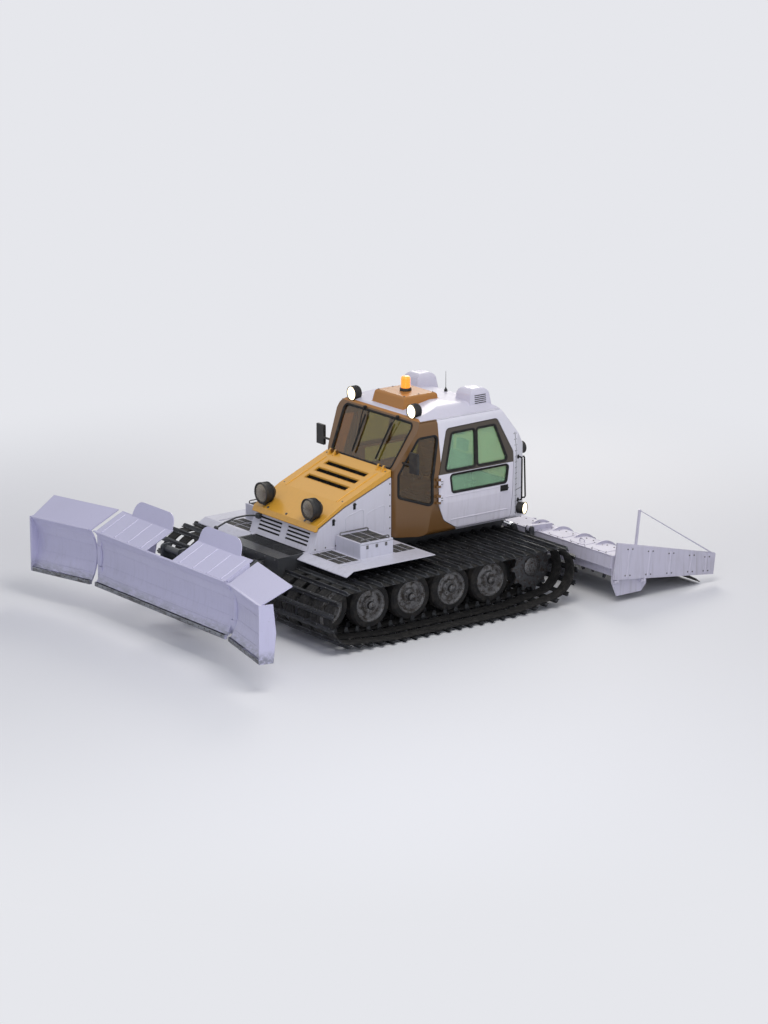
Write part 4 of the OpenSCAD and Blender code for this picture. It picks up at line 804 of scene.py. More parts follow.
for z in range(2752, 2888, 27):
    face = 790 - 30 * (z - VENT_FOOT) / VENT_TALL
    vent_slats.block((-1590, face - 6, z), (-1390, face + 4, z + 11), 2)
    rear = -1690 + 50 * (z - VENT_FOOT) / VENT_TALL
    vent_slats.block((rear - 4, 480, z), (rear + 6, 740, z + 11), 2)
vent_slats.mirrored().piece("roof_vent_slats", black_rubber, "black_plastic")
plinth_bolts = Shape()
for x in (-1010, -760, -510):
    plinth_bolts.bolt((x, 300, 2920), (0, 0, 1), 9, 7)
plinth_bolts.mirrored().piece("plinth_bolts", bolt_steel, "steel")

# Cab glass
# Bonded safety glass: the amber tone of the windscreen, corner and rear panes is painted lamp glow, the door
# panes are green.
# Each stands in a black rubber seal pressed into the cut in the wall; two wipers hang over the windscreen.


def pane(name, tone, clear=0.92):
    f = Finish(name, Roughness=0.03, Transmission_Weight=clear, IOR=1.47, Coat_Weight=0.3)
    film = f.noise(0.3, 5, 0.6, f.stretched(1, 1, 0.3))
    f.set(Base_Color=f.mix(film.ramp(0.4, 0.8), tint(tone), f.shade(tint(tone), 0.86)),
          Roughness=0.02 + film.ramp(0.5, 0.9) * 0.1)
    f.relief(f.noise(0.5, 1), 0.002, 0.3)
    return f


# The amber given to the windscreen, corner and rear panes is the lamps' warm glow painted into the glass.
screen_glass_glow = pane("cab_glass_painted_glow", "#a8803c")
side_glass = pane("side_glass_tint", "#bdf0c8", 0.72)
wear(screen_glass_glow, "cab_glass")
wear(side_glass, "door_glass_left", "door_glass_right")
SEAL = [(-12, -21), (0, -21), (0, 0), (20, 0), (20, 5), (9, 10), (-12, 3)]
CORNER_PANE = rounded([(-440, 1500), (-15, 1640), (-15, 1955), (-265, 2470), (-590, 2470), (-445, 1890)],
                      [50, 40, 80, 50, 50, 120])
SCREEN_PANE = rounded([(-690, 2035), (690, 2035), (800, 2650), (-800, 2650)], [60] * 4)
REAR_PANE = rounded([(-760, 1500), (760, 1500), (680, 2440), (-680, 2440)], [60] * 4)
window_seals = Shape()
strip(window_seals, [on_side(x, z) for x, z in dense(CORNER_PANE)], SEAL, closed=True)
window_seals.mirrored()
strip(window_seals, [on_front(y, z) for y, z in dense(SCREEN_PANE)], SEAL, closed=True)
strip(window_seals, [on_rear(y, z) for y, z in dense(REAR_PANE)], SEAL, closed=True)
window_seals.piece("window_seals", black_rubber, "black_plastic")
wipers = Shape()
for y, lean in ((-330, 90), (430, -90)):
    foot, out = on_front(y, 2676)
    wipers.turned(foot, foot + out, [(-2, 26), (14, 26), (20, 20), (34, 18), (38, 12)], 20)
    middle, away = on_front(y + lean, 2330)
    wipers.pipe([foot + out * 30, foot.lerp(middle, 0.3) + out * 36, middle + away * 30], 8, 10)
    rubber = [on_front(y + lean * (0.82 + 0.36 * k / 8), 2590 - k * 62) for k in range(9)]
    strip(wipers, rubber, [(-3, 1), (3, 1), (3, 12), (9, 18), (9, 25), (-9, 25), (-9, 18), (-3, 12)])
wipers.piece("wipers", black_rubber, "black_plastic")

# Doors
# One hinged door each side in the cab's enamel, with a dark upper frame, three panes, a pull and folds.
# The lower front corner is cut round above the track, and a rubber seal lies in the gap round it.
door_paint = painted("door_paint", "#e2dfec", "#77726b", "#8a8a8e", gloss=0.3, dust=0.42, low=0.9, high=2.0,
                     chips=0.69)
upper_frame = door_paint.z.ramp(1.915, 1.92)
second_colour(door_paint, upper_frame, "#3d3327", 0.8, 0.4)
wear(door_paint, "door_left", "door_right")
DOOR_EDGE = rounded([(-1860, 1107), (-900, 1107), (-660, 1252), (-560, 1482), (-560, 1900), (-760, 2540),
                     (-1660, 2560), (-1900, 2060)], [60, 180, 120, 120, 100, 60, 60, 60])
DOOR_PANES = [rounded(p, [40] * 4) for p in ([(-1790, 1960), (-1250, 1960), (-1290, 2475), (-1610, 2480)],
                                             [(-1210, 1960), (-680, 1960), (-840, 2470), (-1250, 2475)],
                                             [(-1760, 1640), (-800, 1640), (-770, 1890), (-1800, 1890)])]
door_gap = Shape()
strip(door_gap, [on_side(x, z) for x, z in dense(DOOR_EDGE, 60)],
      [(4, -36), (9, -36), (9, -12), (4, -12)], closed=True)
door_gap.mirrored().piece("door_gap_rubber", black_rubber, "black_plastic")
door_seals = Shape()
for pane_edge in DOOR_PANES:
    strip(door_seals, [on_side(x, z) for x, z in dense(pane_edge)], SEAL, closed=True)
HANDLE_X, HANDLE_Z = -1765, 1560
handle = Shape()
wall = on_side(HANDLE_X, HANDLE_Z)[0].y
handle.block((HANDLE_X - 30, wall - 3, HANDLE_Z - 44), (HANDLE_X + 110, wall + 6, HANDLE_Z + 44), 5)
grip = ((-12, 4), (-8, 30), (6, 38), (78, 38), (90, 30), (94, 4))
handle.pipe([(HANDLE_X + x, wall + y, HANDLE_Z) for x, y in grip], 11, 12)
handle.turned((HANDLE_X + 40, wall + 4, HANDLE_Z - 28), (HANDLE_X + 40, wall + 5, HANDLE_Z - 28),
              [(0, 11), (4, 11), (5, 4)], 16)
hinge_bolts = Shape()
for z in (1578, 1815):
    for x in (-596, -578):
        for dz in (-18, 18):
            hinge_bolts.bolt((x, 1071, z + dz), (0, 1, 0), 5, 4)
door_fold = Shape()
strip(door_fold, [on_side(x, 1590) for x in range(-1640, -640, 60)], [(-7, -2), (7, -2), (4, 5), (-4, 5)])
strip(door_fold, [on_side(x, 1240) for x in range(-1800, -760, 60)], [(-9, -2), (9, -2), (5, 6), (-5, 6)])
twins("door", (door_seals, "pane_seals", black_rubber, "black_plastic"),
      (handle, "pull", black_rubber, "black_plastic"), (hinge_bolts, "hinge_bolts", bolt_steel, "steel"),
      (door_fold, "folds", door_paint, "white_paint"))

# Seats and dash
# Two seats of grey cloth over foam, blown up as cloth and then sewn, on ribbed black bases with arm rests.
# The steering wheel and a moulded dash stand ahead; a side console beside the driver carries the levers.
seat_cloth = Finish("seat_cloth", Sheen_Weight=0.3, Sheen_Roughness=0.5)
thread = ((seat_cloth.x * 3100).sine() * (seat_cloth.y * 3100 + seat_cloth.z * 3100).sine()) * 0.5 + 0.5
nap = seat_cloth.noise(0.05, 4)
seat_cloth.mottled(nap.ramp(0.35, 0.7), "#26282e", "#3c3f47", 0.9)
seat_cloth.relief(thread * 0.5 + nap, 0.0015, 0.8)
SEAT_YS, SEAT_X, CUSHION_Z, FLOOR_Z = (-430, 300), -1540, 1337, 1107
CHANNEL, ARM_Y, ARM_Z, VOXEL = 9, 268, 1588, 0.008


def stuffed(name, half, cap):
    """A sewn cover over foam: a rounded block blown up as cloth, with each point held to a small move."""
    cover = bmesh.new()
    bmesh.ops.create_cube(cover, size=2)
    bmesh.ops.subdivide_edges(cover, edges=cover.edges[:], cuts=11, use_grid_fill=True)
    edge = min(half) * 0.62
    for v in cover.verts:
        p = Vector([v.co[i] * half[i] for i in range(3)])
        core = Vector([max(edge - half[i], min(half[i] - edge, p[i])) for i in range(3)])
        v.co = core + (p - core).normalized() * edge
    mesh = bpy.data.meshes.new(name)
    cover.to_mesh(mesh)
    cover.free()
    pad = placed(name, mesh)
    skin = pad.modifiers.new("skin", "REMESH")
    skin.mode, skin.voxel_size = "VOXEL", VOXEL
    bpy.context.view_layer.update()
    even = bpy.data.meshes.new_from_object(pad.evaluated_get(bpy.context.evaluated_depsgraph_get()))
    pad.modifiers.clear()
    pad.data = even
    before = [v.co.copy() for v in even.vertices]
    cloth = pad.modifiers.new("fill", "CLOTH")
    cloth.settings.use_pressure = True
    cloth.settings.uniform_pressure_force = 4
    cloth.settings.effector_weights.gravity = 0
    for step in range(1, 21):
        bpy.context.scene.frame_set(step)
    blown = pad.evaluated_get(bpy.context.evaluated_depsgraph_get()).to_mesh()
    moves = [v.co - before[i] for i, v in enumerate(blown.vertices)]
    pad.modifiers.clear()
    bpy.context.scene.frame_set(1)
    for i, v in enumerate(even.vertices):
        v.co = before[i] + moves[i] * min(1.0, cap / max(moves[i].length, 1e-9))
    bpy.data.objects.remove(pad)
    return even


def upholstered(name, mesh, middle, lean, flat_below, seams_at, across):
    """A seat pad in its place: flat where it rests, with sewn channels pressed in."""
    shape = Shape()
    turn = radians(lean)
    for v in mesh.vertices:
        x, y, z = v.co * 1000
        for line in seams_at:
            off = (y if across == "y" else z) - line
            press = CHANNEL * 2.718 ** (-(off / CHANNEL) ** 2)
            if across == "y" and z > 0:
                z -= press
            elif across == "z" and x > 0:
                x -= press
        z = max(z, flat_below)
        shape.points.append((middle[0] + x * cos(turn) - z * sin(turn), middle[1] + y,
                             middle[2] + z * cos(turn) + x * sin(turn)))
    shape.faces = [tuple(p.vertices) for p in mesh.polygons]
    made = shape.piece(name, seat_cloth, "seat_cloth", smooth=180)
    return shape


cushion_mesh = stuffed("cushion_cover", (0.255, 0.245, 0.052), 0.014)
back_mesh = stuffed("back_cover", (0.048, 0.235, 0.262), 0.014)
head_mesh = stuffed("head_cover", (0.036, 0.122, 0.086), 0.008)
for seat, y in zip(("seat_right", "seat_left"), SEAT_YS):
    cushion_at, back_at = (SEAT_X + 272, y, CUSHION_Z + 64), (SEAT_X + 36, y, 1726)
    cushion = upholstered(f"{seat}_cushion", cushion_mesh, cushion_at, 2, -60, (-125, 125), "y")
    back = upholstered(f"{seat}_back", back_mesh, back_at, 7.2, -400, (-120, 20, 150), "z")
    upholstered(f"{seat}_headrest", head_mesh, (SEAT_X - 10, y, 2074), 5, -400, (), "z")
    piping = Shape()
    for cover, middle, wide, long, flat in ((cushion, cushion_at, 232, 244, True),
                                            (back, back_at, 224, 250, False)):
        skin = BVHTree.FromPolygons([Vector(p) for p in cover.points], cover.faces)
        ring = dense(rounded([(-long, -wide), (long, -wide), (long, wide), (-long, wide)], [60] * 4), 30)
        path = []
        for a, b in ring:
            ideal = Vector(middle) + Vector((a, b, 36) if flat else (36 - a * 0.126, b, a))
            path.append(skin.find_nearest(ideal)[0])
        piping.pipe(path, 4, 8, closed=True)
    for dy in (-62, 62):
        piping.pipe([(SEAT_X + 2, y + dy, 1960), (SEAT_X - 8, y + dy, 2030)], 6, 10)
    piping.piece(f"{seat}_piping", black_rubber, "black_plastic")
seat_bases = Shape()
for y in SEAT_YS:
    rings = []
    for k in range(13):
        z = FLOOR_Z + 20 + k * 16.5
        pull = 14 if k % 2 else 0
        x0, x1, w = SEAT_X + 60 + pull, SEAT_X + 440 - k * 3 - pull, 205 - pull
        rings.append([(a, y + b, z) for a, b in rounded([(x0, -w), (x1, -w), (x1, w), (x0, w)], [40] * 4, 4)])
    seat_bases.loft(rings)
    seat_bases.block((SEAT_X + 30, y - 225, FLOOR_Z + 0.5), (SEAT_X + 470, y + 225, FLOOR_Z + 22), 5)
    seat_bases.block((SEAT_X + 20, y - 235, CUSHION_Z - 14), (SEAT_X + 500, y + 235, CUSHION_Z + 6), 5)
    seat_bases.block((SEAT_X - 34, y - 200, 1500), (SEAT_X - 12, y + 200, 1900), 6)
    for side in (-1, 1):
        arm, hinge = y + side * ARM_Y, y + side * 204
        seat_bases.block((SEAT_X - 40, arm - 24, ARM_Z - 18), (SEAT_X + 330, arm + 24, ARM_Z + 17), 10)
        seat_bases.block((SEAT_X - 38, hinge - 10, CUSHION_Z - 14), (SEAT_X + 46, hinge + 10, 1530), 6)
    seat_bases.turned((SEAT_X - 24, y - ARM_Y, ARM_Z), (SEAT_X - 24, y + ARM_Y, ARM_Z),
                      [(0, 12), (2 * ARM_Y, 12)], 16)
seats_made = seat_bases.piece("seat_bases", black_rubber, "black_plastic")
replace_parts(seats_made, "seats")
controls = Shape()
WHEEL_AT, WHEEL_LEAN = Vector((-640, 300, 1860)), radians(32)
column = Vector((cos(WHEEL_LEAN), 0, -sin(WHEEL_LEAN)))
rise = Vector((sin(WHEEL_LEAN), 0, cos(WHEEL_LEAN)))
controls.pipe(hoop(WHEEL_AT, Vector((0, 1, 0)), rise, 185, 40), 14, 12, closed=True)
controls.turned(WHEEL_AT - column * 10, WHEEL_AT, [(0, 50), (10, 58), (34, 52), (60, 26), (330, 24)], 24)
controls.block((-402, 270, 1682), (-320, 330, 1744), 6)
for a in turns(3):
    spoke = rise * sin(a + 0.52) + Vector((0, cos(a + 0.52), 0))
    controls.pipe([WHEEL_AT + spoke * 30 + column * 10, WHEEL_AT + spoke * 110 + column * 6,
                   WHEEL_AT + spoke * 182], 9, 8)
for x in (-1180, -1100, -1020):
    controls.pipe([(x, 680, 1724), (x + 8, 680, 1790), (x + 24, 680, 1850)], 7, 8)
    controls.turned((x + 24, 680, 1845), (x + 26, 680, 1852),
                    [(0, 12), (8, 20), (30, 22), (44, 16), (48, 6)], 16)
controls.block((-372, 470, 1800), (-352, 700, 1960), 6)
controls.pipe([(-362, 585, 1800), (-340, 585, 1770)], 14, 10)
for k in range(5):
    controls.turned((-300, -520 + k * 80, 1838), (-310, -520 + k * 80, 1858),
                    [(0, 18), (8, 18), (10, 14), (18, 13), (20, 6)], 16)
controls.piece("cab_controls", black_rubber, "black_plastic")
dash_plastic = Finish("dash_plastic")
dash_dust = dash_plastic.noise(0.15, 5)
dash_plastic.mottled(dash_dust.ramp(0.4, 0.8), "#4b4d53", "#66635c", 0.62 + dash_dust * 0.2)
dash_plastic.relief(dash_plastic.cells(0.003), 0.0004, 0.6, 0.01)
wear(dash_plastic, "dash")
CONSOLE_BACK, CONSOLE_FRONT, CONSOLE_IN, CONSOLE_OUT, CONSOLE_TOP = -1250, -830, 620, 740, 1727
console_trim, console_bolts = Shape(), Shape()
for face, way in ((CONSOLE_OUT, 1), (CONSOLE_IN, -1)):
    y0, y1 = sorted((face - way, face + way * 5))
    for z0, z1 in ((1150, 1380), (1396, 1690)):
        console_trim.block((CONSOLE_BACK + 26, y0, z0), (CONSOLE_FRONT - 26, y1, z1), 4)
        for x in (CONSOLE_BACK + 44, CONSOLE_FRONT - 44):
            for z in (z0 + 18, z1 - 18):
                console_bolts.bolt((x, face + way * 5, z), (0, way, 0), 5, 4)
console_trim.block((CONSOLE_BACK + 2, CONSOLE_IN + 2, CONSOLE_TOP - 5),
                   (CONSOLE_FRONT - 2, CONSOLE_OUT - 2, CONSOLE_TOP + 9), 6)
for x in range(-975, -850, 26):
    for y in (640, 696):
        console_trim.block((x, y, CONSOLE_TOP + 7), (x + 17, y + 24, CONSOLE_TOP + 18), 3)
console_trim.piece("console_trim", dash_plastic, "black_plastic")
console_bolts.piece("console_bolts", bolt_steel, "steel")

# Hood and its sides
# A hinged engine hood of pressed sheet whose amber is painted lamp glow, with three long slots and dark slats
# over the engine.
# Fixed lavender-white cheeks and a nose plate with two banks of slots stand below it, held by rubber latches.
# The hood's amber colour is painted warm glow from the roof lamps, under its grime and chips.
hood_glow_paint = painted("hood_glow_paint", "#e0a63a", "#6e5c3c", "#7c7468", gloss=0.3, dust=0.25, low=1.2, high=2.0,
                     chips=0.69)
cheek_paint = painted("cheek_paint", "#d5d4e1", "#77726b", "#8a8a8e", gloss=0.32, dust=0.4, low=0.9, high=1.8)
wear(hood_glow_paint, "hood")
wear(cheek_paint, "hood_sides")
BEND_X, BEND_Z, TIP_X, TIP_Z, HOOD_HALF, HOOD_REAR = 900, 1680, 1350, 1430, 750, (68, 2034)


def hood_top(x):
    """Height of the hood's outer face."""
    if x < BEND_X:
        return HOOD_REAR[1] + (x - HOOD_REAR[0]) * (BEND_Z - HOOD_REAR[1]) / (BEND_X - HOOD_REAR[0])
    return BEND_Z + (x - BEND_X) * (TIP_Z - BEND_Z) / (TIP_X - BEND_X)


SLOT_XS, SLOT_LONG, SLOT_HALF = (248, 416, 584), 78, 480
slot_slats = Shape()


def under_hood(*places):
    """Side profile from (x, how far below the hood's outer face)."""
    return [(x, hood_top(x) - down) for x, down in places]


for x0 in SLOT_XS:
    back, front = x0 - 16, x0 + SLOT_LONG + 16
    slot_slats.prism(under_hood((back, 52), (front, 52), (front, 47), (back, 47)),
                     -SLOT_HALF - 8, SLOT_HALF + 8)
    for k in range(3):
        x = x0 + 8 + k * 25
        z = hood_top(x) - 12
        slot_slats.prism([(x, z), (x + 4, z + 2), (x - 6, z - 26), (x - 10, z - 28)],
                         1 - SLOT_HALF, SLOT_HALF - 1)
    front = x0 + SLOT_LONG - 1
    for y in (-240, 0, 240):
        slot_slats.prism([(x0 + 1, hood_top(x0) - 10), *under_hood((front, 10), (front, 40)),
                          (x0 + 1, hood_top(x0) - 40)], y - 3, y + 3)
slot_slats.piece("hood_slot_slats", black_rubber, "black_plastic", "hood")
hood_beads = Shape()
for y in (HOOD_HALF - 5, -HOOD_HALF + 5):
    hood_beads.pipe([(70, y, hood_top(70) - 4), (BEND_X, y, BEND_Z - 4), (TIP_X - 4, y, TIP_Z - 4)], 8, 10)
hood_beads.pipe([(TIP_X + 22, -HOOD_HALF + 8, 1358), (TIP_X + 22, HOOD_HALF - 8, 1358)], 8, 10)
for y in (-600, 600):
    bead = under_hood((190, 6), (230, -1), (BEND_X - 30, -1))
    hood_beads.pipe([(x, y, z) for x, z in bead + [(BEND_X, BEND_Z - 6)]], 13, 12)
for x0 in SLOT_XS:
    back, front, wide = x0 - 7, x0 + SLOT_LONG + 7, SLOT_HALF + 7
    edge = rounded([(back, -wide), (front, -wide), (front, wide), (back, wide)], [14] * 4, 4)
    hood_beads.pipe([(x, y, hood_top(x) + 1) for x, y in dense(edge, 90)], 4.5, 8, closed=True)
hood_beads.piece("hood_beads", hood_glow_paint, "amber_paint", "hood")
hood_fittings = Shape()
for y in (-440, 0, 440):
    hood_fittings.turned((TIP_X - 30, y, hood_top(TIP_X - 30) - 2),
                         (TIP_X - 16, y, hood_top(TIP_X - 30) + 24),
                         [(0, 20), (6, 20), (9, 15), (14, 15), (16, 8)], 20)
for x in (120, 860):
    for y in (-690, 690):
        z = hood_top(x)
        hood_fittings.turned((x, y, z), (x + 0.42, y, z + 1), [(-1, 12), (3, 12), (6, 7), (7, 2)], 16)
for y in (500, 541, 620, 661):
    for side in (-1, 1):
        hood_fittings.turned((94, side * (y - 18), 2062), (94, side * (y - 17), 2062),
                             [(0, 13), (9, 13), (11, 6)], 16)
hood_fittings.piece("hood_fittings", bolt_steel, "steel", "hood")
NOSE_LOW, NOSE_BEND, BANK_Y, BANK_HALF = (1430, 1053), (1380, 1180), 330, 259
nose_slats = Shape()
for z in (1120, 1172, 1224, 1276):
    low = z < NOSE_BEND[1]
    face = NOSE_LOW[0] - 50 * (z - NOSE_LOW[1]) / 127 if low else NOSE_BEND[0] - 52 * (z - NOSE_BEND[1]) / 160
    for side in (-1, 1):
        y0, y1 = side * BANK_Y - BANK_HALF, side * BANK_Y + BANK_HALF
        nose_slats.prism([(face - 6, z + 1), (face - 4, z + 4), (face - 34, z + 25), (face - 36, z + 22)],
                         y0, y1)
        nose_slats.prism([(face - 46, z - 6), (face - 42, z - 6), (face - 50, z + 32), (face - 54, z + 32)],
                         y0 - 8, y1 + 8)
nose_slats.piece("nose_slats", black_rubber, "black_plastic")
CHEEK = 750
cheek_trim = Shape()
cheek_trim.pipe([(110, CHEEK + 1, 1080), (1395, CHEEK + 1, 1080)], 5, 8)
for x0, x1 in ((170, 480), (540, 850)):
    fold = rounded([(x0, 1180), (x1, 1180), (x1, 1480), (x0, 1560)], [40] * 4, 5)
    cheek_trim.trim([(x, CHEEK, z) for x, z in dense(fold, 90)], (0, 1, 0),
                    [(-7, -1), (7, -1), (4, 5), (-4, 5)], centre=((x0 + x1) / 2, CHEEK, 1350))
cheek_trim.mirrored().piece("cheek_trim", cheek_paint, "white_paint")
latch_straps = Shape()
for x in (700, 1060):
    z = hood_top(x) - 66
    latch_straps.block((x - 22, CHEEK - 1, z - 130), (x + 22, CHEEK + 4, z - 40), 3)
    latch_straps.block((x - 14, CHEEK + 3, z - 120), (x + 14, CHEEK + 12, z - 34), 4)
    latch_straps.turned((x - 26, CHEEK + 10, z - 60), (x + 26, CHEEK + 10, z - 60),
                        [(0, 7), (3, 9), (49, 9), (52, 7)], 12)
latch_straps.mirrored().piece("hood_latches", black_rubber, "black_plastic")
cheek_bolts = Shape()
for x in range(150, 1380, 175):
    cheek_bolts.bolt((x, CHEEK, 1104), (0, 1, 0), 8, 6)
for z in range(1200, 1900, 160):
    cheek_bolts.bolt((86, CHEEK, z), (0, 1, 0), 8, 6)
cheek_bolts.mirrored().piece("cheek_bolts", bolt_steel, "steel")

# Lamps
# Round work lamps on the roof, behind and low at the sides are lit, as is the beacon; the hood's are not.
# Moulded black plastic holds the fluted lenses, the tail lamps and the mirrors' chromed faces.
pod_plastic = Finish("pod_plastic")
pod_dust = pod_plastic.noise(0.1, 5)
pod_plastic.mottled(pod_dust.ramp(0.4, 0.8), "#1d1d20", "#3c3833", 0.45 + pod_dust * 0.25)
pod_plastic.relief(pod_plastic.noise(0.003, 2), 0.0004, 0.6, 0.006)
wear(pod_plastic, "headlamps", "mirrors")
lamp_glass = Finish("lamp_glass", Roughness=0.15, Coat_Weight=0.6, Emission_Strength=3.0)
flutes = (lamp_glass.y * 420).sine() * 0.5 + 0.5
lamp_glass.set(Base_Color=tint("#fff3cf"),
               Emission_Color=lamp_glass.mix(flutes, tint("#ffe3a0"), tint("#fff6df")))
lamp_glass.relief(flutes, 0.0015, 0.6, 0.006)
wear(lamp_glass, "roof_lamps", "rear_lamps")
beacon_glass = Finish("beacon_glass", Roughness=0.18, Coat_Weight=0.5, Emission_Strength=0.9)
ridges = (beacon_glass.z * 700).sine() * 0.5 + 0.5
beacon_glass.set(Base_Color=tint("#f08a1c"),
                 Emission_Color=beacon_glass.mix(ridges, tint("#f07a10"), tint("#ffb347")))
beacon_glass.relief(ridges, 0.0015, 0.7, 0.006)


def lamp_shell(shape, lens, start, way, long, r):
    """A cupped housing round a lamp, and the domed lens in its rim."""
    a = Vector(start)
    b = a + Vector(way)
    shape.turned(a, b, [(-4, r * 0.3), (-4, r * 0.92), (2, r + 4), (long - 2, r + 4), (long + 3, r + 8),
                        (long + 13, r + 8), (long + 13, r + 0.6), (1, r + 0.6), (-0.6, r * 0.3)], 36,
                 open_bore=True)
    lens.turned(a, b, [(long - 1, r - 1), (long + 5, r - 3), (long + 13, r * 0.7), (long + 17, r * 0.36),
                       (long + 18, 4)], 36)


shells, lenses = Shape(), Shape()
ROOF_LAMP_Y, ROOF_LAMP_Z, TURN = 700, 2805, atan2(150, 310)
lamp_shell(shells, lenses, (-440, ROOF_LAMP_Y, ROOF_LAMP_Z), (1, 0, 0), 110, 95)
lamp_shell(shells, lenses, (-2240, 700, 2000), (-1, 0, 0), 80, 80)
lamp_shell(shells, lenses, (-2040, 972, 1210), (-sin(TURN), cos(TURN), 0), 95, 80)
for x in range(-420, -351, 17):
    shells.turned((x, ROOF_LAMP_Y, ROOF_LAMP_Z), (x + 1, ROOF_LAMP_Y, ROOF_LAMP_Z),
                  [(0, 98), (1, 106), (5, 106), (6, 98)], 36)
shells.block((-424, 655, 2700), (-356, 745, 2712), 3)
shells.mirrored().piece("lamp_shells", pod_plastic, "black_plastic")
lenses.mirrored().piece("lamp_lenses", lamp_glass, "lamp")
POD_X, POD_Y, POD_Z = 1130, 560, 1634.4
pods, pod_lenses = Shape(), Shape()


def on_pod(shape, along, outline):
    """Turns an outline on the left pod's axis, from a distance along it."""
    shape.turned((POD_X + along, POD_Y, POD_Z), (POD_X + along + 1, POD_Y, POD_Z), outline, 44)


on_pod(pods, 0, [(0, 30), (14, 64), (44, 100), (86, 128), (140, 143), (200, 148), (204, 154), (236, 154),
                 (236, 136), (222, 130)])
for k in range(4):
    on_pod(pods, 100 + k * 24, [(0, 138), (1, 147 + k), (6, 148 + k), (7, 138)])
on_pod(pod_lenses, 222, [(0, 129), (6, 128), (14, 90), (18, 46), (19, 5)])
pods.mirrored().piece("headlamp_pods", pod_plastic, "black_plastic", "hood")
pod_glass = Finish("pod_glass", Coat_Weight=0.8, Metallic=0.55)
pod_flutes = (pod_glass.y * 520).sine() * 0.5 + 0.5
pod_glass.mottled(pod_flutes, "#544a3c", "#9a8e78", 0.12 + pod_flutes * 0.12)
pod_glass.relief(pod_flutes, 0.0015, 0.6)
pod_lenses.mirrored().piece("headlamp_lenses", pod_glass, "glass", "hood")
BEACON_X, BEACON_Z = -760, 2920.3
BEACON_AXIS = (BEACON_X, 0, BEACON_Z), (BEACON_X, 0, BEACON_Z + 1)
beacon_base, beacon_lens = Shape(), Shape()
beacon_base.turned(*BEACON_AXIS, [(0, 84), (30, 84), (38, 80), (40, 70), (40, 30)], 40)
for a in turns(3):
    x, y = BEACON_X + 77 * cos(a), 77 * sin(a)
    beacon_base.turned((x, y, 2958), (x, y, 2959), [(-2, 6), (3, 6), (5, 2)], 10)
ridge_outline = [(39, 66)]
for k in range(12):
    ridge_outline += [(42 + k * 12, 67.8), (48 + k * 12, 67.8), (51 + k * 12, 64.5)]
beacon_lens.turned(*BEACON_AXIS, ridge_outline + [(188, 64), (198, 58), (206, 46), (209.8, 26), (210, 4)], 48)
beacon_base.piece("beacon_base", pod_plastic, "black_plastic")
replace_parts(beacon_lens.piece("beacon_lens", beacon_glass, "amber_lens"), "beacon")
tail_glass = Finish("tail_glass", Roughness=0.2, Coat_Weight=0.6)
tail_ridges = (tail_glass.z * 900).sine() * 0.5 + 0.5
outer_lens = abs(tail_glass.y).ramp(0.738, 0.742)
tail_glass.set(Base_Color=tail_glass.mix(outer_lens, tint("#8f1712"), tint("#c46a12")))
tail_glass.relief(tail_ridges, 0.0012, 0.7)
tail_lenses = Shape()
for y in (690, 790):
    tail_lenses.turned((tail_spot.x - 20, y, 1235), (tail_spot.x - 21, y, 1235),
                       [(-2, 36), (5, 35), (10, 22), (12, 5)], 28)
tail_lenses.mirrored().piece("tail_lamp_lenses", tail_glass, "amber_lens")
mirror_face = Finish("mirror_face", Metallic=1.0)
mirror_face.set(Base_Color=tint("#c9ced6"), Roughness=0.03 + mirror_face.noise(0.05, 4).ramp(0.55, 0.8) * 0.2)
mirror_panes, mirror_trim = Shape(), Shape()
mirror_panes.block((-98.5, 1022, 2042), (-94.4, 1168, 2308), 1.5)
MIRROR_X, MIRROR_EDGE = -95, rounded([(1013, 2033), (1177, 2033), (1177, 2317), (1013, 2317)], [24] * 4)
mirror_trim.trim([(MIRROR_X, y, z) for y, z in dense(MIRROR_EDGE, 60)], (-1, 0, 0),
                 [(-9, -1), (1, -1), (1, 5), (-3, 7), (-9, 5)], centre=(MIRROR_X, 1095, 2175))
mirror_panes.mirrored().piece("mirror_panes", mirror_face, "chrome")
mirror_trim.mirrored().piece("mirror_trim", pod_plastic, "black_plastic")

# Push frame and lift cylinders
# Box arms from the tub to the king pin, lifted by two cylinders with chromed rods, in dark frame paint.
# Rigid steel pipes lie along the arms under rubber clamps, and a bent rigid arm reaches out from the nose.
frame_paint = painted("frame_paint", "#303338", "#5d5850", "#4f5052", gloss=0.48, dust=0.45, low=0.2,
                      high=1.2)
wear(frame_paint, "push_frame", "blade_head", "tiller_frame", "lift_barrels", "tiller_barrels")
chrome = Finish("rod_chrome", Metallic=1.0)
film = chrome.noise(0.04, 5)
chrome.mottled(film.ramp(0.55, 0.8), "#d8dade", "#9a9690", 0.08 + film * 0.18)
wear(chrome, "lift_rods", "tiller_rods")


def laid_pipe(shape, clamps, node, xs, y, r):
    """A rigid pipe that lies on a node's upper faces, held by clamps."""
    path = []
    for x in xs:
        spot = struck(node, (x, y, 1400), (0, 0, -1))
        if spot:
            path.append(spot + Vector((0, 0, r + 1)))
    if len(path) > 3:
        level = [path[0]]
        for p in path[1:]:
            level.append(Vector((p.x, p.y, max(level[-1].z - 60, min(level[-1].z + 60, p.z)))))
        shape.pipe(level, r, 10)
        for p in level[1:-1:3]:
            clamps.block((p.x - 9, y - r - 9, p.z - r - 3), (p.x + 9, y + r + 9, p.z + r + 3), 3)


